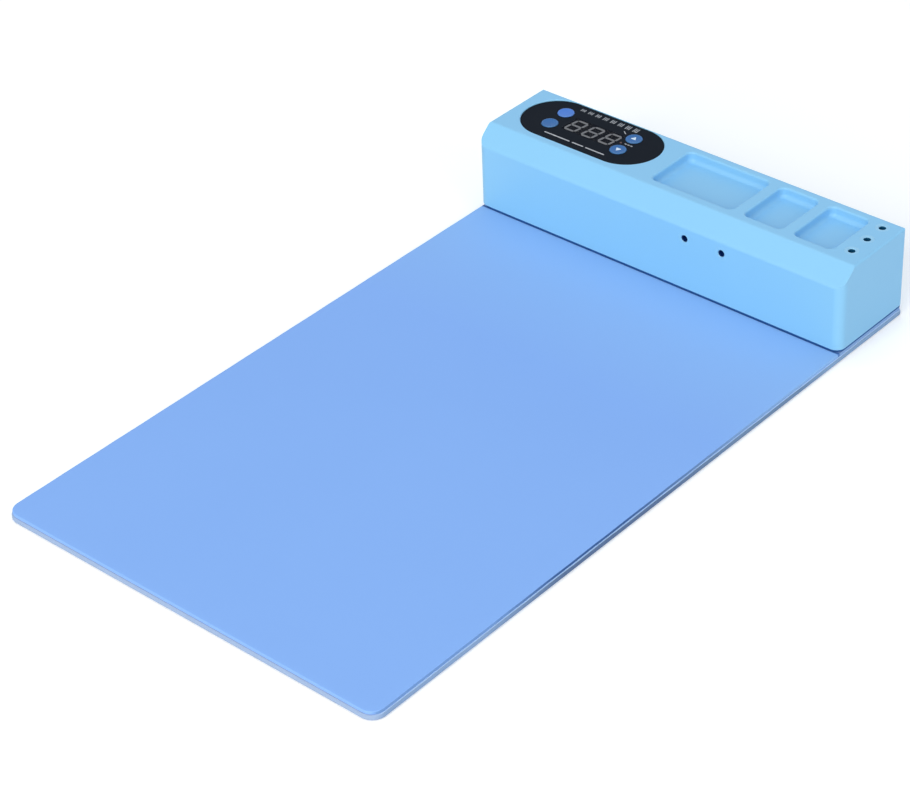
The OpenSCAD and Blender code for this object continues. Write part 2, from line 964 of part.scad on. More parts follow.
module lead_grommet() {
    lip = [grommet_slot[0] + 2 * grommet_lip, grommet_slot[1] + 2 * grommet_lip];
    color("#26282c")
        translate([tongue_x, lead_y, 0])
            difference() {
                union() {
                    translate([0, 0, mat_top - 0.4])
                        linear_extrude(0.4)
                            stadium(lip[0], lip[1]);
                    translate([0, 0, mat_top - 0.4])
                        linear_extrude(tray_t + 0.8)
                            stadium(grommet_slot[0], grommet_slot[1]);
                    translate([0, 0, tray_top])
                        linear_extrude(1.2)
                            stadium(lip[0], lip[1]);
                }
                translate([0, 0, mat_top - 2])
                    linear_extrude(5)
                        stadium(grommet_hole[0], grommet_hole[1]);
            }
}

// A pan-head screw standing on its head, drawn as one turned section
module pan_screw(head_r, head_h, shank_r, shank_l) {
    difference() {
        rotate_extrude()
            polygon(rounded([
                [0, 0, 0], [head_r, 0, head_h * 0.5], [head_r, head_h, 0], [shank_r, head_h, 0],
                [shank_r, head_h + shank_l, 0.3], [0, head_h + shank_l, 0]
            ]));
        for (a = [0, 90])
            rotate(a)
                translate([-head_r * 0.6, -head_r * 0.11, -1])
                    cube([head_r * 1.2, head_r * 0.22, 1 + head_h * 0.5]);
    }
}

module case_screws() {
    color("#8e9297")
        at_bosses()
            translate([0, 0, screw_head_z])
                pan_screw(screw_head_r, screw_seat_z - screw_head_z, screw_r, boss_top - 3 - screw_seat_z);
}

// Control panel

module panel_sheet() {
    color(panel_black)
        translate([0, 0, panel_floor])
            linear_extrude(panel_t)
                difference() {
                    translate([panel_x, panel_y])
                        stadium(panel_l, panel_w);
                    translate([display_x, display_y])
                        square(window, center = true);
                    for (sx = [-1, 1], sy = [-1, 1])
                        translate([key_x + sx * key_span / 2, key_y + sy * key_rise / 2])
                            circle(key_r + key_gap);
                    translate([led_x, led_y])
                        circle(led_r + 0.1);
                }
}

// The window has a rim that the panel sheet holds down on the display
module display_window() {
    color("#1b1e2a")
        translate([display_x, display_y, module_top + digit_t + 0.05]) {
            linear_extrude(panel_floor - module_top - digit_t - 0.05)
                square(module_size + [0.3, 0.3], center = true);
            linear_extrude(panel_top - module_top - digit_t - 0.05)
                square(window - [0.1, 0.1], center = true);
        }
}

module display_module() {
    color("#23262b")
        translate([display_x, display_y, display_board_top])
            linear_extrude(module_top - display_board_top)
                round_rect(module_size[0], module_size[1], 0.4);
}

// One bar of a digit, lying along X, with pointed ends
module digit_bar_outline(l) {
    h = digit_bar / 2;
    polygon([[-l / 2, 0], [-l / 2 + h, h], [l / 2 - h, h], [l / 2, 0], [l / 2 - h, -h], [-l / 2 + h, -h]]);
}

module digit_outline() {
    gap_bar = 0.3;
    for (y = [-1, 0, 1])
        translate([0, y * digit_h / 2])
            digit_bar_outline(digit_w - gap_bar);
    for (sx = [-1, 1], sy = [-1, 1])
        translate([sx * digit_w / 2, sy * digit_h / 4])
            rotate(90)
                digit_bar_outline(digit_h / 2 - gap_bar);
}

module digit_segments() {
    color("#8d9096")
        translate([display_x, display_y, module_top])
            linear_extrude(digit_t)
                for (i = [-1:1])
                    translate([i * digit_pitch, 0])
                        multmatrix([[1, tan(digit_slant), 0, 0], [0, 1, 0, 0], [0, 0, 1, 0], [0, 0, 0, 1]])
                            digit_outline();
}

module status_led() {
    color("#5a1f22")
        translate([led_x, led_y, display_board_top])
            rotate_extrude()
                polygon(rounded([
                    [0, 0, 0], [led_r, 0, 0], [led_r, panel_top - display_board_top, 0.4],
                    [0, panel_top - display_board_top, 0]
                ]));
}

module display_board() {
    color(board_green)
        translate([0, 0, display_board_z])
            linear_extrude(board_t)
                difference() {
                    translate([display_board_x, display_board_y])
                        round_rect(display_board_size[0], display_board_size[1], 2);
                    for (sx = [-1, 1], sy = [-1, 1])
                        translate([display_board_x + sx * pillar_dx, display_board_y + sy * pillar_dy])
                            circle(pilot_r + 0.2);
                }
}

module display_board_screws() {
    color("#8e9297")
        at_pillars()
            translate([0, 0, display_board_z - 1.4])
                pan_screw(2.1, 1.4, pilot_r - 0.05, 6.5);
}

module processor() {
    color("#1c1d20")
        translate([display_x + 6, display_board_y, display_board_z - 1.2]) {
            linear_extrude(1.2)
                square([10, 7], center = true);
            for (i = [-3:3], s = [-1, 1])
                translate([i * 1.27, s * 4, 0.9])
                    cube([0.5, 1.4, 0.6], center = true);
        }
}

module key_switches() {
    color("#2a2c30")
        at_keys()
            translate([0, 0, display_board_top])
                difference() {
                    linear_extrude(switch_h)
                        round_rect(switch_size, switch_size, 0.6);
                    translate([0, 0, switch_h - 2.3])
                        cylinder(h = 3, r = plunger_r + 0.15);
                }
}

// A key's cap, guide flange and stem in one turned section, dished a little on top
module key_cap() {
    flange_top = floor_low - key_rest_gap;
    flange_low = flange_top - key_flange_t;
    cap_top = panel_top + key_proud;
    rotate_extrude()
        polygon(rounded([
            [0, plunger_top, 0], [2, plunger_top, 0], [2, flange_low, 0],
            [key_flange_r, flange_low, 0.2], [key_flange_r, flange_top, 0.2], [key_r, flange_top, 0],
            [key_r, cap_top, 0.45], [key_r * 0.5, cap_top - 0.12, 1], [0, cap_top - 0.15, 0]
        ]));
}

module plunger() {
    translate([0, 0, display_board_top + switch_h - 1.6])
        cylinder(h = plunger_top - display_board_top - switch_h + 1.6, r = plunger_r);
}

module key_power() {
    color(key_blue)
        at_key(-1, 1)
            key_cap();
}

module key_set() {
    color(key_blue)
        at_key(-1, -1)
            key_cap();
}

module key_up() {
    color(key_blue)
        at_key(1, 1)
            key_cap();
}

module key_down() {
    color(key_blue)
        at_key(1, -1)
            key_cap();
}

module plunger_power() {
    color("#e7e4da")
        at_key(-1, 1)
            plunger();
}

module plunger_set() {
    color("#e7e4da")
        at_key(-1, -1)
            plunger();
}

module plunger_up() {
    color("#e7e4da")
        at_key(1, 1)
            plunger();
}

module plunger_down() {
    color("#e7e4da")
        at_key(1, -1)
            plunger();
}

// Sockets of the flat cable: one on the main board, one under the display board
module ribbon_sockets() {
    color("#efece2") {
        translate([ribbon_x, main_socket_y, main_top])
            linear_extrude(socket_h)
                round_rect(ribbon_w + 2.4, 4.4, 0.4);
        translate([ribbon_x, panel_socket_y, display_board_z - socket_h])
            linear_extrude(socket_h)
                round_rect(ribbon_w + 2.4, 4, 0.4);
    }
}

// Points of a line shifted sideways by d, for the two faces of the flat cable
function beside(p, d) = [
    for (i = [0:len(p) - 1])
        let (t = heading(p, i))
        p[i] + d * [-t[1], t[0]]
];
function reversed(p) = [for (i = [len(p) - 1:-1:0]) p[i]];

module ribbon_cable() {
    z0 = main_top + socket_h;
    z1 = display_board_z - socket_h;
    line = route([
        [main_socket_y, z0], [main_socket_y, z0 + 4.6], [panel_socket_y, z1 - 4.6], [panel_socket_y, z1]
    ], 6);
    color("#9aa0a8")
        translate([ribbon_x - ribbon_w / 2, 0, 0])
            rotate([90, 0, 90])
                linear_extrude(ribbon_w)
                    polygon(concat(beside(line, ribbon_t / 2), reversed(beside(line, -ribbon_t / 2))));
}

// Main board

module main_board() {
    color(board_green)
        translate([0, 0, main_z])
            linear_extrude(board_t)
                difference() {
                    translate([main_x0, main_y0])
                        square([main_x1 - main_x0, main_y1 - main_y0]);
                    for (p = board_holes)
                        translate(p)
                            circle(1.6);
                }
}

module board_standoffs() {
    color("#c9a54a")
        at_board_holes()
            translate([0, 0, tray_top])
                linear_extrude(standoff_h)
                    difference() {
                        circle(2.9, $fn = 6);
                        circle(1.5);
                    }
}

module main_board_screws() {
    color("#8e9297")
        at_board_holes()
            translate([0, 0, main_top + 1.7])
                mirror([0, 0, 1])
                    pan_screw(2.7, 1.7, screw_r, 5.4);
}

module power_module() {
    color("#24272c")
        translate([-57, 154.5, main_top])
            difference() {
                linear_extrude(15)
                    round_rect(34, 19.5, 1);
                translate([0, 0, 14.4])
                    linear_extrude(1)
                        round_rect(31, 16.5, 0.6);
            }
}

module relay() {
    color("#2b63b0")
        translate([-28, 150.8, main_top]) {
            linear_extrude(15.3)
                round_rect(18.8, 15.2, 0.8);
        }
}

module fuse() {
    color("#d9dde0")
        translate([fuse_x, fuse_y, fuse_z])
            rotate([0, 90, 0]) {
                cylinder(h = 20, r = 2.45, center = true);
                for (s = [-1, 1])
                    translate([0, 0, s * 7.5])
                        cylinder(h = 5, r = fuse_r, center = true);
            }
}

module fuse_clips() {
    color("#c8cbd0")
        for (s = [-1, 1])
            translate([fuse_x + s * 7.5, fuse_y, fuse_z])
                rotate([90, 0, 90])
                    linear_extrude(4.2, center = true)
                        difference() {
                            union() {
                                circle(fuse_r + 0.5);
                                translate([-1.4, main_top - fuse_z])
                                    square([2.8, fuse_z - main_top]);
                            }
                            circle(fuse_r + 0.02);
                            translate([-1.7, 0.9])
                                square([3.4, 4]);
                        }
}

module can(r, h) {
    rotate_extrude()
        polygon(rounded([[0, 0, 0], [r, 0, 0.3], [r, h * 0.12, 0], [r - 0.3, h * 0.15, 0],
            [r, h * 0.18, 0], [r, h, 0.4], [0, h, 0]]));
}

module capacitors() {
    color("#2c2a33") {
        translate([-33, 137.8, main_top])
            can(4, 12);
        translate([-23, 137.6, main_top])
            can(3.2, 10);
    }
}

module terminal_block() {
    l = terminal_pitch * terminal_ways;
    h = 12;
    w = 8.5;
    color("#2f8a4d")
        difference() {
            translate([terminal_x1 - w, terminal_y0 + l, main_top])
                rotate([90, 0, 0])
                    linear_extrude(l)
                        polygon([[0, 0], [w, 0], [w, 7], [w - 2.2, h], [0, h]]);
            for (y = terminal_ys) {
                translate([terminal_x1 - 4.5, y, terminal_z])
                    rotate([0, 90, 0])
                        cylinder(h = 6, r = wire_r + 0.15);
                translate([terminal_x1 - 4.6, y, main_top + h - 4])
                    cylinder(h = 5, r = 1.75);
            }
        }
}

module terminal_screws() {
    color("#c8cbd0")
        for (y = terminal_ys)
            translate([terminal_x1 - 4.6, y, main_top + 8])
                difference() {
                    cylinder(h = 2.4, r = 1.65);
                    translate([-2, -0.25, 1.6])
                        cube([4, 0.5, 2]);
                }
}

module sensor_socket() {
    color("#efece2")
        translate([sensor_socket_at[0], sensor_socket_at[1], main_top])
            linear_extrude(socket_h)
                round_rect(5, 4, 0.4);
}

// Rear fittings

// Outline of the inlet's socket: a rectangle with its two upper corners cut
module socket_outline(size, cut) {
    w = size[0] / 2;
    h = size[1] / 2;
    polygon([[-w, -h], [w, -h], [w, h - cut], [w - cut, h], [-w + cut, h], [-w, h - cut]]);
}

module inlet_flange() {
    hull() {
        round_rect(inlet_body[0] + 3, 23, 2);
        for (s = [-1, 1])
            translate([s * inlet_hole_span / 2, 0])
                circle(5.2, $fn = 32);
    }
}

module at_blades() {
    for (b = [[-blade_span / 2, -blade_rise], [0, blade_rise], [blade_span / 2, -blade_rise]])
        translate([b[0], b[1], 0])
            children();
}

module power_inlet() {
    color("#1f2124")
        on_back(inlet_x, case_y1)
            difference() {
                union() {
                    linear_extrude(flange_t)
                        inlet_flange();
                    translate([0, 0, -inlet_deep])
                        linear_extrude(inlet_deep)
                            socket_outline(inlet_body, 5);
                }
                translate([0, 0, flange_t - socket_deep])
                    linear_extrude(socket_deep + 1)
                        socket_outline(socket_size, 4.4);
                translate([0, 0, -inlet_deep - 1])
                    at_blades()
                        linear_extrude(inlet_deep)
                            square(blade, center = true);
                for (s = [-1, 1])
                    translate([s * inlet_hole_span / 2, 0, -0.1]) {
                        cylinder(h = flange_t + 1, r = 1.6);
                        translate([0, 0, flange_t - 1.4])
                            cylinder(h = 1.6, r1 = 1.6, r2 = 3.2);
                    }
            }
}

// Blades with tapered tips, and the solder tabs behind them
module inlet_pins() {
    tip = flange_t - socket_deep + 12;
    half = blade[1] / 2;
    color("#c9ccd1")
        on_back(inlet_x, case_y1)
            at_blades() {
                translate([-blade[0] / 2, 0, 0])
                    rotate([90, 0, 90])
                        linear_extrude(blade[0])
                            polygon([
                                [-half, -inlet_deep], [half, -inlet_deep], [half, tip - 1.5],
                                [half - 0.8, tip], [-half + 0.8, tip], [-half, tip - 1.5]
                            ]);
                translate([0, 0, -inlet_deep - inlet_tab_l])
                    linear_extrude(inlet_tab_l)
                        square([0.8, 4.6], center = true);
            }
}

module inlet_screws() {
    color("#9a9ea3")
        on_back(inlet_x, case_y1)
            for (s = [-1, 1])
                translate([s * inlet_hole_span / 2, 0, 0])
                    difference() {
                        rotate_extrude()
                            polygon([
                                [0, -wall - 5], [screw_r, -wall - 5], [screw_r, flange_t - 1.4],
                                [3, flange_t - 0.05], [0, flange_t - 0.05]
                            ]);
                        for (a = [45, 135])
                            rotate(a)
                                translate([-1.7, -0.3, flange_t - 1])
                                    cube([3.4, 0.6, 2]);
                    }
}

module inlet_nuts() {
    color("#9a9ea3")
        on_back(inlet_x, case_y1)
            for (s = [-1, 1])
                translate([s * inlet_hole_span / 2, 0, -wall - 2.4])
                    linear_extrude(2.4)
                        difference() {
                            circle(3.1, $fn = 6);
                            circle(screw_r + 0.05);
                        }
}

module rocker_frame() {
    color("#1f2124")
        on_back(rocker_x, case_y1)
            difference() {
                union() {
                    linear_extrude(bezel_t)
                        round_rect(bezel_size[0], bezel_size[1], 1.6);
                    translate([0, 0, -switch_deep])
                        linear_extrude(switch_deep)
                            round_rect(switch_body[0], switch_body[1], 0.6);
                    // Spring wings that hold the frame behind the wall
                    for (s = [-1, 1])
                        rotate(s * 90)
                            translate([switch_body[1] / 2 - 0.2, 0, 0])
                                rotate([90, 0, 0])
                                    linear_extrude(6, center = true)
                                        polygon([[0, -wall - 0.1], [1, -wall - 0.1], [0, -wall - 5]]);
                }
                translate([0, 0, -pivot_in - rocker_r - 0.4])
                    linear_extrude(switch_deep)
                        square(rocker_open, center = true);
                translate([0, 0, -pivot_in])
                    rotate([0, 90, 0])
                        cylinder(h = switch_body[0] + 1, r = pivot_hole_r, center = true);
            }
}

// The rocker's two faces meet in a shallow valley, its ends turn about the pivot
module rocker() {
    dish = rocker_swing / 2;
    face = 2.6;
    rise = 10 * tan(dish);
    color("#25272b")
        on_back(rocker_x, pivot_y)
            rotate([dish, 0, 0]) {
                rotate([90, 0, 90])
                    linear_extrude(rocker_w, center = true)
                        intersection() {
                            circle(rocker_r);
                            polygon([
                                [-10, -4.6], [10, -4.6], [10, face + rise], [0, face], [-10, face + rise]
                            ]);
                        }
                rotate([0, 90, 0])
                    cylinder(h = switch_body[0] - 1, r = pivot_r, center = true);
            }
}

module rocker_tabs() {
    color("#c8cbd0")
        on_back(rocker_x, case_y1)
            for (s = [-1, 1])
                translate([0, s * tab_rise, -switch_deep - tab[1]])
                    linear_extrude(tab[1])
                        square([tab[0], tab[2]], center = true);
}

// Wiring

module live_wires() {
    x0 = inlet_x - blade_span / 2;
    z0 = rear_z - blade_rise;
    z_up = rear_z + tab_rise;
    z_low = rear_z - tab_rise;
    y = terminal_ys[3];
    color("#8a4b2a") {
        wire(route([
            [x0, inlet_tab_y, z0], [x0, inlet_tab_y - 3.5, z0], [47, 139.5, 25], [34, 141, 29],
            [23, 144, 30], [rocker_x, 146, z_up], [rocker_x, rocker_tab_y, z_up]
        ]), wire_r);
        wire(route([
            [rocker_x, rocker_tab_y, z_low], [rocker_x, 147, z_low], [12, 148.5, 20], [4, 154, 19.5],
            [-2, y, 16.5], [wire_end_x + 4, y, terminal_z], [wire_end_x, y, terminal_z]
        ]), wire_r);
    }
}

module neutral_wire() {
    x0 = inlet_x + blade_span / 2;
    z0 = rear_z - blade_rise;
    y = terminal_ys[2];
    color("#3f6fb5")
        wire(route([
            [x0, inlet_tab_y, z0], [x0, inlet_tab_y - 4, z0], [60, 137, 14], [40, 139, 9.5], [24, 147, 9],
            [12, y, 11], [2, y, terminal_z], [wire_end_x, y, terminal_z]
        ]), wire_r);
}

module earth_wire() {
    z0 = rear_z + blade_rise;
    color("#7f9a35")
        wire(route([
            [inlet_x, inlet_tab_y, z0], [inlet_x, inlet_tab_y - 3.5, z0], [66, 138, 24], [73, 137, 16],
            [earth_at[0], 136.5, 9], [earth_at[0], 138, earth_z], [earth_at[0], earth_at[1] - 7.5, earth_z]
        ]), wire_r);
}

// Ring terminal on its stud, with the nut
module earth_terminal() {
    translate([earth_at[0], earth_at[1], tray_top]) {
        color("#c9ccd1")
            difference() {
                union() {
                    cylinder(h = 0.8, r = 3.6);
                    translate([-1.2, -5, 0])
                        cube([2.4, 3, 0.8]);
                    translate([0, -3.6, earth_z - tray_top])
                        rotate([90, 0, 0])
                            cylinder(h = 3.9, r = 1.45);
                }
                translate([0, 0, -1])
                    cylinder(h = 4, r = 1.6);
            }
        color("#9a9ea3") {
            cylinder(h = 6, r = 1.5);
            translate([0, 0, 0.8])
                cylinder(h = 2.4, r = 3.1, $fn = 6);
        }
    }
}

module heater_leads() {
    pad_z = track_z + track_t + wire_r;
    color("#d9d6cf")
        for (s = [-1, 1])
            let (x = tongue_x + s * lead_span / 2, y = terminal_ys[s < 0 ? 0 : 1])
                wire(route([
                    [x, lead_y - 5.2, pad_z], [x, lead_y - 1, pad_z], [x, lead_y, pad_z + 0.5],
                    [x, lead_y, 8.5], [x - 1, lead_y + (s < 0 ? 1.2 : 2), 13.5],
                    s < 0 ? [4, y, terminal_z] : [8.5, y - 0.8, terminal_z],
                    [wire_end_x + 5, y, terminal_z], [wire_end_x, y, terminal_z]
                ]), wire_r);
}

module sensor_lead() {
    z = plate_z + plate_t / 2;
    end = [sensor_socket_at[0], sensor_socket_at[1], main_top + socket_h];
    color("#b3342e")
        wire(route([
            [tongue_x, sensor_y + 1 + sensor_size[1], z], [tongue_x, 128, z], [tongue_x, lead_y - 1, z],
            [tongue_x, lead_y, z + 0.7], [tongue_x, lead_y, 10], [12, 141, 18], [4, 147, 26],
            [-10, 157, 28.5], [-22, end[1] - 0.5, 26], [end[0], end[1], 22], end
        ]), sensor_wire_r);
}

base_sheet();
insulation_felt();
heater_film();
heater_track();
spreader_plate();
silicone_pad();
mat_sensor();
cover_gasket();
chassis_tray();
lead_grommet();
top_cover();
tool_sleeves();
wire_sleeves();
case_screws();
panel_sheet();
display_window();
display_module();
digit_segments();
status_led();
display_board();
display_board_screws();
processor();
key_switches();
ribbon_cable();
ribbon_sockets();
key_power();
key_set();
key_up();
key_down();
plunger_power();
plunger_set();
plunger_up();
plunger_down();
main_board();
board_standoffs();
main_board_screws();
power_module();
relay();
fuse();
fuse_clips();
capacitors();
terminal_block();
terminal_screws();
sensor_socket();
power_inlet();
inlet_pins();
inlet_screws();
inlet_nuts();
rocker_frame();
rocker();
rocker_tabs();
live_wires();
neutral_wire();
earth_wire();
earth_terminal();
heater_leads();
sensor_lead();
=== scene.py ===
import bmesh
import bpy
import json
from math import cos, pi, radians, sin, sqrt, tan
from mathutils import Matrix, Vector


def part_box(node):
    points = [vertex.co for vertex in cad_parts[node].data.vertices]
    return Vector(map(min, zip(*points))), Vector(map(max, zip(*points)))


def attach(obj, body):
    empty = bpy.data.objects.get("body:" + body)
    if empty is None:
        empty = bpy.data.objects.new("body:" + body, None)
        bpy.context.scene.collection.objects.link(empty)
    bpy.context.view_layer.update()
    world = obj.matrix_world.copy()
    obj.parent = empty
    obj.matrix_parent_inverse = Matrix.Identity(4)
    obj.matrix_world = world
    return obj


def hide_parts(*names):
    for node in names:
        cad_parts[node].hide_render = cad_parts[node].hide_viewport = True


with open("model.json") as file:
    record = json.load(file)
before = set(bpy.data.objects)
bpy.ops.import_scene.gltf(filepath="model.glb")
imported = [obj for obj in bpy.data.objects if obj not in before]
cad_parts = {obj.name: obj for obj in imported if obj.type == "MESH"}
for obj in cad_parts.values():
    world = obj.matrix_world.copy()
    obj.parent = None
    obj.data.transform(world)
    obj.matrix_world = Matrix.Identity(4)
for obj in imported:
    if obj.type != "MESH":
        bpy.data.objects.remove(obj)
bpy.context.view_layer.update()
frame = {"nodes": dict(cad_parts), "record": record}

mm = 0.001
nodes = frame["nodes"]


def linear(hexCode):
    parts = [int(hexCode[i:i + 2], 16) / 255 for i in (1, 3, 5)]
    return [c / 12.92 if c <= 0.04045 else ((c + 0.055) / 1.055) ** 2.4 for c in parts] + [1.0]


# One shader node with its settings: plain values, or the output of another node to link from
def add(tree, kind, settings):
    node = tree.nodes.new(kind)
    for name, value in settings.items():
        if isinstance(name, str) and hasattr(node, name):
            setattr(node, name, value)
        elif isinstance(value, bpy.types.NodeSocket):
            tree.links.new(value, node.inputs[name])
        else:
            node.inputs[name].default_value = value
    return node


def newMaterial(name):
    material = bpy.data.materials.new(name)
    material.use_nodes = True
    tree = material.node_tree
    tree.nodes.clear()
    place = add(tree, "ShaderNodeTexCoord", {}).outputs["Object"]
    return material, tree, place


def finishMaterial(material, tree, shader):
    add(tree, "ShaderNodeOutputMaterial", {"Surface": shader.outputs[0]})
    return material


# Turns a colour to another tone over a stretch along y, which here paints light and shade
def turnAlong(tree, place, colour, stretch):
    tone, fromMm, toMm = stretch
    along = add(tree, "ShaderNodeSeparateXYZ", {"Vector": place})
    part = add(tree, "ShaderNodeMapRange", {
        "Value": along.outputs["Y"], "From Min": fromMm * mm, "From Max": toMm * mm})
    return add(tree, "ShaderNodeMix", {
        "data_type": "RGBA", 0: part.outputs[0], 6: colour, 7: linear(tone)}).outputs[2]


# Moulded or cast surface: two close tones in soft clouds, and a fine grain in gloss and relief.
# faces gives the faces that look along an axis their own tone, which may turn along the piece: this is
# painted light and shade by which way a face looks. The fades turn the tone of all of it along y, as
# painted light and shade. The paler edges are wear and a painted highlight together, and the deep colour
# is painted shade in the bores, drawn from ambient occlusion. A real grain of 0.1 mm or so wouldn't show,
# so each is drawn at 0.4 mm or more
def moulded(name, look):
    material, tree, place = newMaterial(name)
    cloud = add(tree, "ShaderNodeTexNoise", {
        "Vector": place, "Scale": 1 / (look["cloudMm"] * mm), "Detail": 3.0, "Roughness": 0.55})
    colour = add(tree, "ShaderNodeMix", {
        "data_type": "RGBA", 0: cloud.outputs["Fac"], 6: linear(look["colour"]),
        7: linear(look["cloud"])}).outputs[2]
    grain = add(tree, "ShaderNodeTexNoise", {
        "Vector": place, "Scale": 1 / (look["grainMm"] * mm), "Detail": 2.0, "Roughness": 0.6})
    # Painted light and shade: faces that look along an axis get their own tone
    for axis, (tone, stretches) in look.get("faces", {}).items():
        paintedFaceTone = linear(tone)
        for stretch in stretches:
            paintedFaceTone = turnAlong(tree, place, paintedFaceTone, stretch)
        normal = add(tree, "ShaderNodeTexCoord", {}).outputs["Normal"]
        facing = add(tree, "ShaderNodeSeparateXYZ", {"Vector": normal})
        aside = add(tree, "ShaderNodeMath", {"operation": "ABSOLUTE", 0: facing.outputs[axis]})
        part = add(tree, "ShaderNodeMapRange", {
            "Value": aside.outputs[0], "From Min": 0.6, "From Max": 0.85})
        colour = add(tree, "ShaderNodeMix", {
            "data_type": "RGBA", 0: part.outputs[0], 6: colour, 7: paintedFaceTone}).outputs[2]
    # Painted light and shade along y
    for stretch in look.get("paintedLightAndShade", ()):
        colour = turnAlong(tree, place, colour, stretch)
    # Paler edges: wear, together with a painted highlight
    if "edgeWearAndHighlight" in look:
        bevel = add(tree, "ShaderNodeBevel", {"samples": 4, "Radius": look["edgeWearAndHighlightMm"] * mm})
        plain = add(tree, "ShaderNodeNewGeometry", {})
        same = add(tree, "ShaderNodeVectorMath", {
            "operation": "DOT_PRODUCT", 0: bevel.outputs[0], 1: plain.outputs["Normal"]})
        edge = add(tree, "ShaderNodeMapRange", {
            "Value": same.outputs["Value"], "From Min": 0.75, "From Max": 0.99,
            "To Min": look["edgeWearAndHighlightMix"], "To Max": 0.0})
        colour = add(tree, "ShaderNodeMix", {
            "data_type": "RGBA", 0: edge.outputs[0], 6: colour, 7: linear(look["edgeWearAndHighlight"])}).outputs[2]
    # Painted shade in bores and hollows, drawn from ambient occlusion
    if "deep" in look:
        shade = add(tree, "ShaderNodeAmbientOcclusion", {
            "samples": 8, "only_local": True, "Distance": look["deepMm"] * mm})
        dark = add(tree, "ShaderNodeMapRange", {
            "Value": shade.outputs["AO"], "From Min": look["deepFrom"], "From Max": look["deepTo"],
            "To Min": look["deepMix"], "To Max": 0.0})
        colour = add(tree, "ShaderNodeMix", {
            "data_type": "RGBA", 0: dark.outputs[0], 6: colour, 7: linear(look["deep"])}).outputs[2]
    gloss = add(tree, "ShaderNodeMapRange", {
        "Value": grain.outputs["Fac"], "To Min": look["roughness"] - 0.06,
        "To Max": look["roughness"] + 0.06})
    relief = add(tree, "ShaderNodeBump", {
        "Height": grain.outputs["Fac"], "Strength": look["grain"], "Distance": look["grainHighMm"] * mm})
    settings = {"Base Color": colour, "Roughness": gloss.outputs[0], "IOR": look["ior"],
                "Normal": relief.outputs[0]}
    settings.update(look.get("shader", {}))
    return finishMaterial(material, tree, add(tree, "ShaderNodeBsdfPrincipled", settings))


# Bare or plated metal: fine marks drawn out along one axis, and a duller film in clouds. The marks
# are wider than real ones, at 0.3 to 0.5 mm, so that they show
def metal(name, look):
    material, tree, place = newMaterial(name)
    stretch = add(tree, "ShaderNodeMapping", {"Vector": place, "Scale": look["stretch"]})
    marks = add(tree, "ShaderNodeTexNoise", {
        "Vector": stretch.outputs[0], "Scale": 1 / (look["markMm"] * mm), "Detail": 3.0})
    cloud = add(tree, "ShaderNodeTexNoise", {
        "Vector": place, "Scale": 1 / (look["cloudMm"] * mm), "Detail": 4.0})
    tone = add(tree, "ShaderNodeMix", {
        "data_type": "RGBA", 0: cloud.outputs["Fac"], 6: linear(look["colour"]),
        7: linear(look["cloud"])}).outputs[2]
    gloss = add(tree, "ShaderNodeMapRange", {
        "Value": marks.outputs["Fac"], "To Min": look["roughness"] - 0.08,
        "To Max": look["roughness"] + 0.1})
    relief = add(tree, "ShaderNodeBump", {
        "Height": marks.outputs["Fac"], "Strength": look["marks"], "Distance": 0.05 * mm})
    return finishMaterial(material, tree, add(tree, "ShaderNodeBsdfPrincipled", {
        "Base Color": tone, "Metallic": 1.0, "Roughness": gloss.outputs[0],
        "Normal": relief.outputs[0]}))


# Drawn glass tube: clear, with faint draw marks in its gloss
def drawnGlass(name, look):
    material, tree, place = newMaterial(name)
    marks = add(tree, "ShaderNodeTexNoise", {
        "Vector": place, "Scale": 1 / (look["markMm"] * mm), "Detail": 2.0})
    gloss = add(tree, "ShaderNodeMapRange", {
        "Value": marks.outputs["Fac"], "To Min": look["roughness"], "To Max": look["roughness"] + 0.04})
    return finishMaterial(material, tree, add(tree, "ShaderNodeBsdfPrincipled", {
        "Base Color": linear(look["colour"]), "Roughness": gloss.outputs[0], "IOR": look["ior"],
        "Transmission Weight": 1.0}))


# Silicone rubber, calendered and die-cut: dull, even and slightly milky, with a grain too fine to see,
# drawn here at 0.9 mm. Its long sides carry painted shade that changes along them, the end towards the
# housing is paler with painted light, and a narrow strip along the housing's front is a painted shadow
padSilicone = moulded("siliconeRubberPad", {
    "colour": "#82aef3", "cloud": "#86b2f6", "cloudMm": 110, "grainMm": 0.9, "grain": 0.3,
    "grainHighMm": 0.04, "roughness": 0.6, "ior": 1.41,
    "faces": {0: ("#6c96d4", (("#2e5996", -104, -66), ("#769cd0", -24, 56)))},
    "paintedLightAndShade": (("#8cbaf2", 40, 122), ("#4674b8", 123.9, 124.5), ("#83a9dc", 125.2, 125.8)),
    "shader": {"Specular IOR Level": 0.35}})
# The same rubber in the lower sheet: greyer, with painted shade on its long sides that changes along
# them, a painted highlight on the faces that look up, and painted light along its front
baseSilicone = moulded("siliconeRubberBase", {
    "colour": "#829ec8", "cloud": "#93aed8", "cloudMm": 14, "grainMm": 0.7, "grain": 0.5,
    "grainHighMm": 0.06, "roughness": 0.62, "ior": 1.41,
    "faces": {0: ("#85a3ce", (("#556f99", -110, -62), ("#6b88ae", 0, 50), ("#84a4cc", 96, 118))),
              2: ("#b4d6fb", ())},
    "paintedLightAndShade": (("#96add3", -166, -171.5),), "shader": {"Specular IOR Level": 0.35}})
# ABS moulded in a spark-eroded tool: satin, with a grain of about 0.1 mm, drawn at 0.6 mm to show.
# Its paler edges are wear and a painted highlight together
coverAbs = moulded("absMouldedCover", {
    "colour": "#84c2ed", "cloud": "#88c6f1", "cloudMm": 60, "grainMm": 0.6, "grain": 0.22,
    "grainHighMm": 0.03, "roughness": 0.42, "ior": 1.53, "edgeWearAndHighlight": "#a0d8f8", "edgeWearAndHighlightMm": 0.5,
    "edgeWearAndHighlightMix": 0.4, "shader": {"Specular IOR Level": 0.4}})
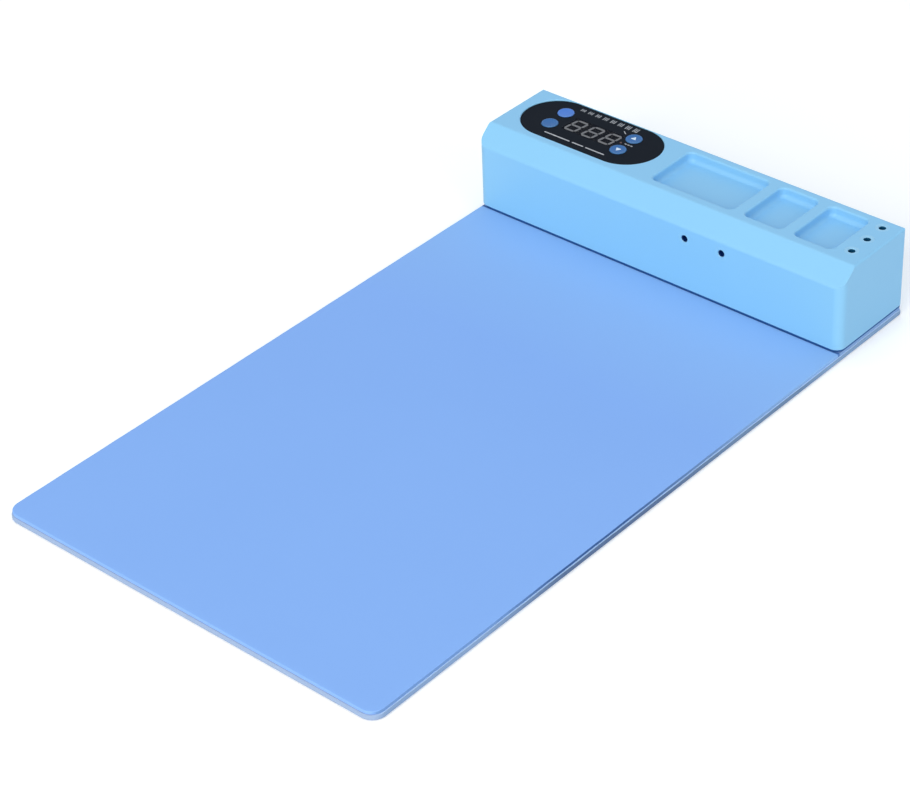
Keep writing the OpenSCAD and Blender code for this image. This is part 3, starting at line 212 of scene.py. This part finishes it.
# Small ABS tubes with polished rims: the pale rims are a painted highlight, and the bores go dark within
# a few mm by painted shade
toolSleeveAbs = moulded("absMouldedToolSleeve", {
    "colour": "#8ac6ee", "cloud": "#90caf0", "cloudMm": 5, "grainMm": 0.5, "grain": 0.1,
    "grainHighMm": 0.02, "roughness": 0.3, "ior": 1.53, "edgeWearAndHighlight": "#b4dff9", "edgeWearAndHighlightMm": 0.4,
    "edgeWearAndHighlightMix": 0.5, "deep": "#0d5480", "deepMm": 5, "deepFrom": 0.5, "deepTo": 0.75, "deepMix": 1.0})
# The wire sleeves' bores go dark by painted shade
wireSleeveAbs = moulded("absMouldedWireSleeve", {
    "colour": "#84c2ed", "cloud": "#8cc8f0", "cloudMm": 5, "grainMm": 0.5, "grain": 0.15,
    "grainHighMm": 0.02, "roughness": 0.36, "ior": 1.53, "deep": "#07307a", "deepMm": 5,
    "deepFrom": 0.55, "deepTo": 0.85, "deepMix": 1.0})
# Closed-cell EVA foam, skived to a thin ring: dull and pitted. Its dark blue is painted shade, standing
# for the shadow in the gap under the cover
gapShadeFoam = moulded("evaFoamGapShade", {
    "colour": "#104c92", "cloud": "#16559c", "cloudMm": 6, "grainMm": 0.4, "grain": 0.8,
    "grainHighMm": 0.08, "roughness": 0.85, "ior": 1.45})
# Polycarbonate film printed on its back: blue-black and even under a fine velvet face
panelFilm = moulded("polycarbonateOverlay", {
    "colour": "#0c141f", "cloud": "#111924", "cloudMm": 25, "grainMm": 0.5, "grain": 0.12,
    "grainHighMm": 0.02, "roughness": 0.42, "ior": 1.58, "shader": {"Specular IOR Level": 0.02}})
# Polished ABS keys: clear blue with a soft gleam, and a paler rim that is a painted highlight
keyPlastic = {
    "cloudMm": 5, "grainMm": 0.5, "grain": 0.08, "grainHighMm": 0.02, "roughness": 0.24, "ior": 1.53,
    "edgeWearAndHighlightMm": 1.1, "edgeWearAndHighlightMix": 0.7, "shader": {"Specular IOR Level": 0.18}}
keyAbs = moulded("absPolishedKeys", keyPlastic | {
    "colour": "#2060a4", "cloud": "#286bb0", "edgeWearAndHighlight": "#7fa3bf"})
# The same plastic in the violet blue of the power key, with the same painted highlight on its rim
keyPowerAbs = moulded("absPolishedPowerKey", keyPlastic | {
    "colour": "#3d76d0", "cloud": "#4780dc", "edgeWearAndHighlight": "#869fbc"})
# Glass-filled nylon: black, a little chalky, with short fibres in its skin
blackNylon = moulded("nylonGlassFilled", {
    "colour": "#1a1c1f", "cloud": "#24272b", "cloudMm": 8, "grainMm": 0.45, "grain": 0.4,
    "grainHighMm": 0.05, "roughness": 0.5, "ior": 1.53, "edgeWearAndHighlight": "#4a4e54", "edgeWearAndHighlightMm": 0.3,
    "edgeWearAndHighlightMix": 0.5})
# PBT of connectors and switch bodies: smooth, dense and slightly waxy
pbt = {"cloudMm": 6, "grainMm": 0.5, "grain": 0.2, "grainHighMm": 0.03, "roughness": 0.42, "ior": 1.54}
darkPbt = moulded("pbtMouldedDark", pbt | {"colour": "#212429", "cloud": "#2b2f35", "roughness": 0.45})
palePbt = moulded("pbtMouldedIvory", pbt | {"colour": "#ece8dc", "cloud": "#e2ddcf"})
bluePbt = moulded("pbtMouldedBlue", pbt | {"colour": "#2b63b0", "cloud": "#3570bd", "roughness": 0.4})
greenPbt = moulded("pbtMouldedGreen", pbt | {"colour": "#2f8a4d", "cloud": "#389657"})
# Epoxy laminate under solder mask: green gloss over the weave of the glass cloth
boardLaminate = moulded("epoxyGlassLaminate", {
    "colour": "#1b6542", "cloud": "#237a50", "cloudMm": 2, "grainMm": 0.5, "grain": 0.25,
    "grainHighMm": 0.03, "roughness": 0.3, "ior": 1.55})
# Needled wool felt: pale, dull and hairy
felt = moulded("woolFeltNeedled", {
    "colour": "#cbc5b6", "cloud": "#b9b2a0", "cloudMm": 3, "grainMm": 0.4, "grain": 1.0,
    "grainHighMm": 0.2, "roughness": 0.95, "ior": 1.45})
# Polyimide film: amber and shiny
polyimide = moulded("polyimideCastFilm", {
    "colour": "#a8642a", "cloud": "#b9742f", "cloudMm": 20, "grainMm": 0.8, "grain": 0.08,
    "grainHighMm": 0.02, "roughness": 0.22, "ior": 1.7})
# Tinted epoxy of a small lamp that is off: dark red and glassy
ledResin = moulded("epoxyCastRed", {
    "colour": "#3a1a20", "cloud": "#4a2028", "cloudMm": 1, "grainMm": 0.4, "grain": 0.05,
    "grainHighMm": 0.01, "roughness": 0.25, "ior": 1.55})
# Black face of a display, cast with fine matting so that it stays dark
displayBlack = moulded("epoxyCastBlack", {
    "colour": "#0f1219", "cloud": "#141821", "cloudMm": 6, "grainMm": 0.5, "grain": 0.15,
    "grainHighMm": 0.02, "roughness": 0.6, "ior": 1.5, "shader": {"Specular IOR Level": 0.05}})
# Segments of a display that is off: light grey epoxy, seen dimly through the smoked window
segmentResin = moulded("epoxyCastGrey", {
    "colour": "#bdbfc6", "cloud": "#b0b3bb", "cloudMm": 3, "grainMm": 0.4, "grain": 0.1,
    "grainHighMm": 0.02, "roughness": 0.5, "ior": 1.5})
# PVC insulation, extruded: smooth and a little greasy
pvc = {"cloudMm": 8, "grainMm": 0.5, "grain": 0.1, "grainHighMm": 0.02, "roughness": 0.38, "ior": 1.53}
pvcBrown = moulded("pvcExtrudedBrown", pvc | {"colour": "#8a4b2a", "cloud": "#965432"})
pvcBlue = moulded("pvcExtrudedBlue", pvc | {"colour": "#3f6fb5", "cloud": "#4a7bc0"})
pvcGreen = moulded("pvcExtrudedGreen", pvc | {"colour": "#7f9a35", "cloud": "#b9b53a", "cloudMm": 4})
pvcRed = moulded("pvcExtrudedRed", pvc | {"colour": "#b3342e", "cloud": "#bd4038"})
# Silicone sleeving, extruded: warm white and dull
siliconeSleeve = moulded("siliconeExtruded", {
    "colour": "#d9d6cf", "cloud": "#cbc7be", "cloudMm": 8, "grainMm": 0.5, "grain": 0.2,
    "grainHighMm": 0.02, "roughness": 0.6, "ior": 1.41})
# Screen-printing ink: a thin chalky film that lets a little of the ground through
inkPanel = moulded("inkScreenPrintedGrey", {
    "colour": "#c4c8d0", "cloud": "#8e929c", "cloudMm": 1.2, "grainMm": 0.4, "grain": 0.2,
    "grainHighMm": 0.01, "roughness": 0.6, "ior": 1.5})
inkKeys = moulded("inkPadPrintedWhite", {
    "colour": "#dcecfb", "cloud": "#c3dcf6", "cloudMm": 1.5, "grainMm": 0.4, "grain": 0.1,
    "grainHighMm": 0.01, "roughness": 0.4, "ior": 1.5})

# Sheet steel, zinc plated: bright grey with a faint blue film and rolling marks
zincSteel = metal("steelZincPlated", {
    "colour": "#b9bec4", "cloud": "#9fa6ae", "cloudMm": 8, "markMm": 0.4, "stretch": (1, 8, 8),
    "marks": 0.2, "roughness": 0.38})
# Screws and nuts, nickel plated: darker and smooth
nickelSteel = metal("steelNickelPlated", {
    "colour": "#a5a8ab", "cloud": "#8e9297", "cloudMm": 4, "markMm": 0.3, "stretch": (1, 1, 1),
    "marks": 0.15, "roughness": 0.3})
# Stamped brass contacts, nickel plated: pale, with fine drawing lines
nickelBrass = metal("brassNickelPlated", {
    "colour": "#cfd0cf", "cloud": "#bdbcb4", "cloudMm": 4, "markMm": 0.3, "stretch": (4, 1, 4),
    "marks": 0.15, "roughness": 0.26})
# Turned brass: yellow, with the rings of the tool
turnedBrass = metal("brassTurned", {
    "colour": "#d3b05a", "cloud": "#b8923c", "cloudMm": 4, "markMm": 0.3, "stretch": (1, 1, 6),
    "marks": 0.2, "roughness": 0.32})
# Etched copper foil: pink, browner where it was touched
copperFoil = metal("copperFoilEtched", {
    "colour": "#c9835a", "cloud": "#b06a41", "cloudMm": 10, "markMm": 0.5, "stretch": (1, 6, 1),
    "marks": 0.15, "roughness": 0.4})
# Rolled aluminium: white grey, with long fine lines
rolledAluminium = metal("aluminiumRolled", {
    "colour": "#cdd0d4", "cloud": "#babec3", "cloudMm": 20, "markMm": 0.5, "stretch": (8, 1, 1),
    "marks": 0.15, "roughness": 0.34})

# Smoked acrylic, cut from cast sheet: as dark as the film round it, but the grey digits show through
smokedAcrylic = moulded("acrylicCastSmoked", {
    "colour": "#1a1d26", "cloud": "#20232c", "cloudMm": 12, "grainMm": 1.5, "grain": 0.04,
    "grainHighMm": 0.01, "roughness": 0.2, "ior": 1.49,
    "shader": {"Alpha": 0.4, "Specular IOR Level": 0.03}})
fuseGlass = drawnGlass("glassDrawn", {"colour": "#e8eef0", "roughness": 0.02, "ior": 1.52, "markMm": 3})


def dress(names, material):
    for name in names:
        mesh = nodes[name].data
        mesh.materials.clear()
        mesh.materials.append(material)
        for polygon in mesh.polygons:
            polygon.material_index = 0


dress(["top_cover"], coverAbs)
dress(["tool_sleeves"], toolSleeveAbs)
dress(["wire_sleeves"], wireSleeveAbs)
dress(["lead_grommet", "processor", "power_module", "capacitors", "display_module", "key_switches",
       "mat_sensor"], darkPbt)
dress(["panel_sheet"], panelFilm)
dress(["display_window"], smokedAcrylic)
dress(["key_set", "key_up", "key_down"], keyAbs)
dress(["key_power"], keyPowerAbs)
dress(["power_inlet", "rocker_frame", "rocker"], blackNylon)
dress(["plunger_power", "plunger_set", "plunger_up", "plunger_down", "ribbon_sockets",
       "sensor_socket"], palePbt)
dress(["relay"], bluePbt)
dress(["terminal_block"], greenPbt)
dress(["main_board", "display_board"], boardLaminate)
dress(["insulation_felt"], felt)
dress(["heater_film"], polyimide)
dress(["status_led"], ledResin)
dress(["digit_segments"], segmentResin)
dress(["live_wires"], pvcBrown)
dress(["neutral_wire"], pvcBlue)
dress(["earth_wire"], pvcGreen)
dress(["sensor_lead"], pvcRed)
dress(["heater_leads", "ribbon_cable"], siliconeSleeve)
dress(["chassis_tray"], zincSteel)
dress(["case_screws", "display_board_screws", "main_board_screws", "inlet_screws", "inlet_nuts",
       "terminal_screws"], nickelSteel)
dress(["inlet_pins", "rocker_tabs", "fuse_clips", "earth_terminal"], nickelBrass)
dress(["board_standoffs"], turnedBrass)
dress(["heater_track"], copperFoil)
dress(["spreader_plate"], rolledAluminium)
dress(["fuse"], fuseGlass)
print("materials done")

sharpFrom = 35  # degrees between two faces from which their edge stays crisp


def keepPiece(name, bm, material, body):
    mesh = bpy.data.meshes.new(name)
    bm.to_mesh(mesh)
    bm.free()
    for polygon in mesh.polygons:
        polygon.use_smooth = True
    mesh.set_sharp_from_angle(angle=radians(sharpFrom))
    mesh.materials.append(material)
    piece = bpy.data.objects.new(name, mesh)
    bpy.context.collection.objects.link(piece)
    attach(piece, body)
    return piece


# The mat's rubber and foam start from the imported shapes, cut into an even net of small faces whose
# points can then move a little. Points closer than weldMm or mergeMm become one, flatDeg joins the
# packed triangles, and an edge of the top within rimMm of the outline is rounded where its faces
# turn by more than rimTurn radians
net = {"weldMm": 0.001, "mergeMm": 0.005, "flatDeg": 0.3, "levelMm": 0.01, "rimMm": 8, "backRimMm": 4,
       "rimTurn": 1.2}


def cutAcross(bm, spot, normal):
    bmesh.ops.bisect_plane(bm, geom=bm.verts[:] + bm.edges[:] + bm.faces[:],
                           dist=net["mergeMm"] * mm, plane_co=spot, plane_no=normal)


def softNet(node, look):
    bm = bmesh.new()
    bm.from_mesh(nodes[node].data)
    bmesh.ops.remove_doubles(bm, verts=bm.verts, dist=net["weldMm"] * mm)
    bmesh.ops.dissolve_limit(bm, angle_limit=radians(net["flatDeg"]), verts=bm.verts, edges=bm.edges)
    low, high = [Vector(corner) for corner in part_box(node)]
    if look["edgeMm"] > 0:
        sideX, frontY = high.x - net["rimMm"] * mm, low.y + net["rimMm"] * mm
        backY, topZ = high.y - net["backRimMm"] * mm, high.z - net["levelMm"] * mm
        rim = []
        for edge in bm.edges:
            onTop = all(vert.co.z > topZ for vert in edge.verts)
            outside = any(abs(vert.co.x) > sideX or vert.co.y < frontY or vert.co.y > backY
                          for vert in edge.verts)
            if onTop and outside and len(edge.link_faces) == 2:
                if edge.calc_face_angle() > net["rimTurn"]:
                    rim.append(edge)
        bmesh.ops.bevel(bm, geom=rim, offset=look["edgeMm"] * mm, segments=2, profile=0.5,
                        affect="EDGES", clamp_overlap=True)
    for axis in (0, 1):
        count = max(1, round((high[axis] - low[axis]) / (look["netMm"] * mm)))
        across = Vector([1.0 if i == axis else 0.0 for i in range(3)])
        for k in range(1, count):
            cutAcross(bm, low + (high - low) * (k / count), across)
    bmesh.ops.remove_doubles(bm, verts=bm.verts, dist=net["mergeMm"] * mm)
    bmesh.ops.dissolve_degenerate(bm, dist=net["mergeMm"] * mm, edges=bm.edges)
    return bm, low, high


matLook = {"netMm": 6.1, "edgeMm": 0.3, "topDeepMm": 0.4, "waveMm": 0.05, "waveLongMm": 70,
           "stillFromMm": 105, "calmMm": 20, "sideDeepMm": 0.5, "sideMm": 0.08, "sideLongMm": 26}


# The rolled pad lies a hair uneven, in two long waves that cross, and grows calm towards the
# housing. Its cut sides aren't dead straight
def makePad():
    bm, low, high = softNet("silicone_pad", matLook)
    still = matLook["stillFromMm"] * mm
    longWay = matLook["waveLongMm"] * mm
    for vert in bm.verts:
        x, y, z = vert.co
        if z > high.z - matLook["topDeepMm"] * mm and y < still:
            calm = min(1.0, (still - y) / (matLook["calmMm"] * mm))
            one = sin(2 * pi * (x + 0.3 * y) / longWay)
            other = sin(2 * pi * (y - 0.2 * x) / (1.3 * longWay))
            vert.co.z = z - matLook["waveMm"] * mm * (0.5 + 0.25 * one + 0.25 * other) * calm
        if abs(x) > high.x - matLook["sideDeepMm"] * mm:
            wave = 0.5 + 0.5 * sin(2 * pi * y / (matLook["sideLongMm"] * mm))
            vert.co.x = x - (1 if x > 0 else -1) * matLook["sideMm"] * mm * wave
    pad = keepPiece("matPad", bm, padSilicone, "housing")
    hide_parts("silicone_pad")


sheetLook = {"netMm": 6.1, "edgeMm": 0.15, "sideDeepMm": 0.2, "sideMm": 0.08, "sideLongMm": 31,
             "slant": 30}


# The knife leaves a low wave in the lower sheet's front and sides, which slants with the height
def makeBase():
    bm, low, high = softNet("base_sheet", sheetLook)
    deep = sheetLook["sideDeepMm"] * mm
    for vert in bm.verts:
        x, y, z = vert.co
        along = x + y + sheetLook["slant"] * z
        wave = 0.5 + 0.5 * sin(2 * pi * along / (sheetLook["sideLongMm"] * mm))
        if abs(x) > high.x - deep:
            vert.co.x = x - (1 if x > 0 else -1) * sheetLook["sideMm"] * mm * wave
        if y < low.y + deep:
            vert.co.y = y + sheetLook["sideMm"] * mm * wave
    base = keepPiece("matBase", bm, baseSilicone, "housing")
    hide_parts("base_sheet")


foamLook = {"netMm": 6.1, "edgeMm": 0, "bulgeMm": 0.3, "leastOut": 0.1}


# The foam ring is squeezed by the cover, so its sides stand out a little at half height and show more of
# its dark, painted-shade colour in the gap
def makeSeal():
    bm, low, high = softNet("cover_gasket", foamLook)
    middle = (low + high) / 2
    cutAcross(bm, middle, Vector((0, 0, 1)))
    bm.normal_update()
    for vert in bm.verts:
        if abs(vert.co.z - middle.z) < net["levelMm"] * mm:
            out = Vector((vert.normal.x, vert.normal.y, 0))
            if out.length > foamLook["leastOut"]:
                vert.co += out.normalized() * foamLook["bulgeMm"] * mm
    seal = keepPiece("foamSeal", bm, gapShadeFoam, "housing")
    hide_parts("cover_gasket")


makePad()
makeBase()
makeSeal()
print("mat and seal done")

displayLook = {"underMm": 0.12, "thickMm": 0.12, "marginMm": 0.3, "plateMm": 0.3, "plateGapMm": 0.12,
               "plateBevelMm": 0.1}


# The display's segments come up close under the window
def makeDigits():
    low, high = [Vector(corner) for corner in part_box("display_window")]
    margin = displayLook["marginMm"] * mm
    top = high.z - displayLook["underMm"] * mm
    below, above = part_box("digit_segments")
    half = (below[2] + above[2]) / 2
    bm = bmesh.new()
    bm.from_mesh(nodes["digit_segments"].data)
    bmesh.ops.remove_doubles(bm, verts=bm.verts, dist=net["weldMm"] * mm)
    for vert in bm.verts:
        vert.co.z = top if vert.co.z > half else top - displayLook["thickMm"] * mm
        vert.co.x = min(max(vert.co.x, low.x + margin), high.x - margin)
    digits = keepPiece("digitFaces", bm, segmentResin, "housing")
    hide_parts("digit_segments")


# They stand out by half their thickness from a black face plate with rounded edges
def makeDisplayPlate():
    low, high = [Vector(corner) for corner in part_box("display_window")]
    gap = displayLook["plateGapMm"] * mm
    face = high.z - (displayLook["underMm"] + displayLook["thickMm"] * 0.5) * mm
    bm = bmesh.new()
    bmesh.ops.create_cube(bm, size=1.0)
    for vert in bm.verts:
        vert.co.x = (low.x + gap) if vert.co.x < 0 else (high.x - gap)
        vert.co.y = (low.y + gap) if vert.co.y < 0 else (high.y - gap)
        vert.co.z = (face - displayLook["plateMm"] * mm) if vert.co.z < 0 else face
    bmesh.ops.bevel(bm, geom=bm.edges[:], offset=displayLook["plateBevelMm"] * mm, segments=2,
                    profile=0.5, affect="EDGES")
    keepPiece("displayPlate", bm, displayBlack, "housing")


makeDigits()
makeDisplayPlate()
print("display done")


# Printed marks. Each is a thin raised film of ink, sunk a little into the face, with a soft
# shoulder: under and shoulder are shares of its height, and inMm is how far its top is drawn in.
# Points are mm on the surface, and place puts a point and a height into the world
film = {"under": -0.6, "shoulder": 0.6, "inMm": 0.03, "ringSteps": 28, "capSteps": 6}


def flatOn(height):
    def place(x, y, up):
        return Vector((x * mm, y * mm, height + up * mm))

    return place


def inkShape(bm, points, place, high):
    centre = Vector((sum(p[0] for p in points) / len(points), sum(p[1] for p in points) / len(points)))
    rings = []
    for level, pull in ((film["under"], 0.0), (film["shoulder"], 0.0), (1.0, film["inMm"])):
        ring = []
        for p in points:
            spot = Vector(p)
            inward = centre - spot
            spot += inward.normalized() * min(pull, inward.length)
            ring.append(bm.verts.new(place(spot.x, spot.y, level * high)))
        rings.append(ring)
    count = len(points)
    for lower, upper in zip(rings, rings[1:]):
        for i in range(count):
            after = (i + 1) % count
            bm.faces.new((lower[i], lower[after], upper[after], upper[i]))
    bm.faces.new(rings[-1])
    bm.faces.new(reversed(rings[0]))


def inkRing(bm, centre, radius, wide, place, high):
    steps = film["ringSteps"]
    outer, inner = radius + wide / 2, radius - wide / 2
    profile = ((outer, film["under"]), (outer, film["shoulder"]), (outer - film["inMm"], 1.0),
               (inner + film["inMm"], 1.0), (inner, film["shoulder"]), (inner, film["under"]))
    rings = []
    for i in range(steps):
        turn = 2 * pi * i / steps
        rings.append([bm.verts.new(place(centre[0] + r * cos(turn), centre[1] + r * sin(turn), up * high))
                      for r, up in profile])
    for i in range(steps):
        here, there = rings[i], rings[(i + 1) % steps]
        for k in range(len(profile)):
            after = (k + 1) % len(profile)
            bm.faces.new((here[k], there[k], there[after], here[after]))


# The outline of a line with round ends
def stroke(start, end, wide):
    start, end = Vector(start), Vector(end)
    along = (end - start).normalized()
    side = Vector((-along.y, along.x))
    points = []
    for middle, lead, across in ((end, along, side), (start, -along, -side)):
        for i in range(film["capSteps"] + 1):
            turn = pi * i / film["capSteps"] - pi / 2
            points.append(tuple(middle + (lead * cos(turn) + across * sin(turn)) * (wide / 2)))
    return points


panelMarks = {"inkMm": 0.03, "groups": 8, "scaleFrom": -74.2, "scaleTo": -43.5, "scaleY": 168.4,
              "barWide": 0.42, "barApart": 0.95, "barShort": 1.7, "barTall": 3.1, "middleLess": 0.2,
              "rule": ((-76.1, -62.1), (-60.0, -54.2), (-52.3, -42.1)), "ruleY": 142.5, "ruleWide": 0.75,
              "slash": ((-47.4, 164.6), (-45.6, 163.2)), "slashWide": 0.45,
              "dashes": (-39.9, -38.3, -36.7), "dashY": 156.0, "dashHalf": 0.35, "dashWide": 0.6}


# A scale whose bars grow in height, a rule in three pieces, a slash and three dashes
def makePanelMarks():
    look = panelMarks
    place = flatOn(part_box("panel_sheet")[1][2])
    bm = bmesh.new()
    for group in range(look["groups"]):
        share = group / (look["groups"] - 1)
        x = look["scaleFrom"] + (look["scaleTo"] - look["scaleFrom"]) * share
        tall = look["barShort"] + (look["barTall"] - look["barShort"]) * share
        for bar in (-1, 0, 1):
            spot = x + bar * look["barApart"]
            half = tall / 2 - look["middleLess"] * (bar == 0)
            line = stroke((spot, look["scaleY"] - half), (spot, look["scaleY"] + half), look["barWide"])
            inkShape(bm, line, place, look["inkMm"])
    for start, end in look["rule"]:
        line = stroke((start, look["ruleY"]), (end, look["ruleY"]), look["ruleWide"])
        inkShape(bm, line, place, look["inkMm"])
    inkShape(bm, stroke(*look["slash"], look["slashWide"]), place, look["inkMm"])
    for x in look["dashes"]:
        line = stroke((x - look["dashHalf"], look["dashY"]), (x + look["dashHalf"], look["dashY"]),
                      look["dashWide"])
        inkShape(bm, line, place, look["inkMm"])
    keepPiece("panelScale", bm, inkPanel, "housing")


keyMarks = {"inkMm": 0.08, "size": 2.9, "cornerMm": 0.25, "dishMm": 0.14}


# A triangle with rounded corners, its point towards +y of the surface or, turned, towards -y
def arrowShape(centre, turned):
    corner = keyMarks["cornerMm"]
    points = []
    for third in range(3):
        toward = radians(90 + 120 * third + (180 if turned else 0))
        tip = Vector((cos(toward), sin(toward))) * (keyMarks["size"] / sqrt(3) - 2 * corner)
        for i in range(5):
            bend = toward + radians(-60 + 30 * i)
            points.append(tuple(Vector(centre) + tip + Vector((cos(bend), sin(bend))) * corner))
    return points


# The keys are dished, so their arrows stand on the floor of the dish
def makeKeyMarks():
    for key, turned in (("key_up", False), ("key_down", True)):
        low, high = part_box(key)
        middle = ((low[0] + high[0]) / 2 / mm, (low[1] + high[1]) / 2 / mm)
        bm = bmesh.new()
        inkShape(bm, arrowShape(middle, turned), flatOn(high[2] - keyMarks["dishMm"] * mm),
                 keyMarks["inkMm"])
        keepPiece("arrow_" + key, bm, inkKeys, key)


switchMarks = {"inkMm": 0.03, "ring": 1.45, "line": 3.2, "wide": 0.55, "apart": 4.3, "outMm": 2.6}


# The rocker's two faces meet in a valley outMm out from its pin. Each slopes by half of the swing,
# and the rocker rests turned by as much
def rockerFace(half):
    joints = frame["record"]["behaviour"]["joints"]
    swing = next(joint for joint in joints if joint["name"] == "rocker_swing")
    slope = radians(swing["range_deg"][1] / 2)

    def place(a, b, up):
        out = switchMarks["outMm"] + (b * half) * tan(slope) + up
        rise = b * cos(slope) - out * sin(slope)
        back = b * sin(slope) + out * cos(slope)
        return Vector(swing["pos_m"]) + Vector((-a, back, rise)) * mm

    return place


def makeSwitchMarks():
    look = switchMarks
    bm = bmesh.new()
    inkRing(bm, (0, -look["apart"]), look["ring"], look["wide"], rockerFace(-1), look["inkMm"])
    half = look["line"] / 2
    line = stroke((0, look["apart"] - half), (0, look["apart"] + half), look["wide"])
    inkShape(bm, line, rockerFace(1), look["inkMm"])
    keepPiece("switchMarks", bm, inkPanel, "rocker")


makePanelMarks()
makeKeyMarks()
makeSwitchMarks()
print("marks done")

view = {"place": (0.6583, -0.7361, 0.7034), "forward": (-0.54892, 0.60509, -0.57667),
        "right": (0.75634, 0.65327, -0.03448), "lens": 113.63, "sensor": 36.0, "clipStart": 0.01}


# The camera stands where the photograph was taken from
def makeCamera():
    data = bpy.data.cameras.new("photoCamera")
    data.lens = view["lens"]
    data.sensor_width = view["sensor"]
    data.sensor_fit = "HORIZONTAL"
    data.clip_start = view["clipStart"]
    camera = bpy.data.objects.new("photoCamera", data)
    bpy.context.collection.objects.link(camera)
    forward = Vector(view["forward"]).normalized()
    right = (Vector(view["right"]) - forward * forward.dot(Vector(view["right"]))).normalized()
    up = right.cross(forward)
    turn = Matrix((right, up, -forward)).transposed()
    camera.matrix_world = Matrix.Translation(view["place"]) @ turn.to_4x4()
    bpy.context.scene.camera = camera


lampAim = (0, 0.02, 0)
lamps = [
    {"name": "frontSoftbox", "towards": (0.15, -1.0, 0.55), "far": 2.2, "size": 1.6, "watts": 35.7,
     "colour": "#fff7e4"},
    {"name": "rightSoftbox", "towards": (1.0, -0.1, 0.35), "far": 2.2, "size": 1.5, "watts": 11.8,
     "colour": "#fffaf4"},
    {"name": "topSoftbox", "towards": (-0.2, 0.2, 1.0), "far": 2.0, "size": 1.6, "watts": 10.4,
     "colour": "#dcf0ff"},
]


def makeLamps():
    for lamp in lamps:
        data = bpy.data.lights.new(lamp["name"], "AREA")
        data.shape = "SQUARE"
        data.size = lamp["size"]
        data.energy = lamp["watts"]
        data.color = linear(lamp["colour"])[:3]
        towards = Vector(lamp["towards"]).normalized()
        light = bpy.data.objects.new(lamp["name"], data)
        light.location = Vector(lampAim) + towards * lamp["far"]
        light.rotation_euler = towards.to_track_quat("Z", "Y").to_euler()
        bpy.context.collection.objects.link(light)


world = {"strength": 0.45, "colour": "#f8fbff"}


# The world lights the object softly; the camera, and gloss and glass, see it white
def makeWorld():
    sky = bpy.data.worlds.new("studio")
    sky.use_nodes = True
    tree = sky.node_tree
    tree.nodes.clear()
    path = add(tree, "ShaderNodeLightPath", {})
    clear = add(tree, "ShaderNodeMath", {
        "operation": "MAXIMUM", 0: path.outputs["Is Camera Ray"], 1: path.outputs["Is Transmission Ray"]})
    seen = add(tree, "ShaderNodeMath", {
        "operation": "MAXIMUM", 0: clear.outputs[0], 1: path.outputs["Is Glossy Ray"]})
    soft = add(tree, "ShaderNodeBackground", {
        "Color": linear(world["colour"]), "Strength": world["strength"]})
    white = add(tree, "ShaderNodeBackground", {"Color": (1, 1, 1, 1), "Strength": 1.0})
    both = add(tree, "ShaderNodeMixShader", {0: seen.outputs[0], 1: soft.outputs[0], 2: white.outputs[0]})
    add(tree, "ShaderNodeOutputWorld", {"Surface": both.outputs[0]})
    bpy.context.scene.world = sky


floorLook = {"radius": 3.0, "belowMm": 0.2, "colour": "#f4f5f7", "fibreMm": 1.5, "fibreHighMm": 0.05,
             "lift": 0.25, "fadeFrom": 0.7, "fadeTo": 1.5}


# A white paper sweep that takes the object's shadow. The camera sees the rest of it white, by a lift
# that grows to a full white between fadeFrom and fadeTo metres out
def makeFloor():
    mesh = bpy.data.meshes.new("floor")
    bm = bmesh.new()
    bmesh.ops.create_circle(bm, cap_ends=True, segments=96, radius=floorLook["radius"])
    bm.to_mesh(mesh)
    bm.free()
    floor = bpy.data.objects.new("floor", mesh)
    floor.location.z = -floorLook["belowMm"] * mm
    bpy.context.collection.objects.link(floor)
    material, tree, place = newMaterial("paperSweep")
    fibre = add(tree, "ShaderNodeTexNoise", {
        "Vector": place, "Scale": 1 / (floorLook["fibreMm"] * mm), "Detail": 3.0})
    relief = add(tree, "ShaderNodeBump", {
        "Height": fibre.outputs["Fac"], "Strength": 0.05, "Distance": floorLook["fibreHighMm"] * mm})
    paper = add(tree, "ShaderNodeBsdfDiffuse", {
        "Color": linear(floorLook["colour"]), "Normal": relief.outputs[0]})
    path = add(tree, "ShaderNodeLightPath", {})
    away = add(tree, "ShaderNodeVectorMath", {"operation": "LENGTH", 0: place})
    pale = add(tree, "ShaderNodeMapRange", {
        "Value": away.outputs["Value"], "From Min": floorLook["fadeFrom"],
        "From Max": floorLook["fadeTo"], "To Min": floorLook["lift"]})
    lift = add(tree, "ShaderNodeMath", {
        "operation": "MULTIPLY", 0: path.outputs["Is Camera Ray"], 1: pale.outputs[0]})
    glow = add(tree, "ShaderNodeEmission", {"Color": (1, 1, 1, 1), "Strength": lift.outputs[0]})
    both = add(tree, "ShaderNodeAddShader", {0: paper.outputs[0], 1: glow.outputs[0]})
    finishMaterial(material, tree, both)
    mesh.materials.append(material)


makeCamera()
makeLamps()
makeWorld()
makeFloor()
bpy.context.scene.view_settings.view_transform = "Standard"
print("stage done")
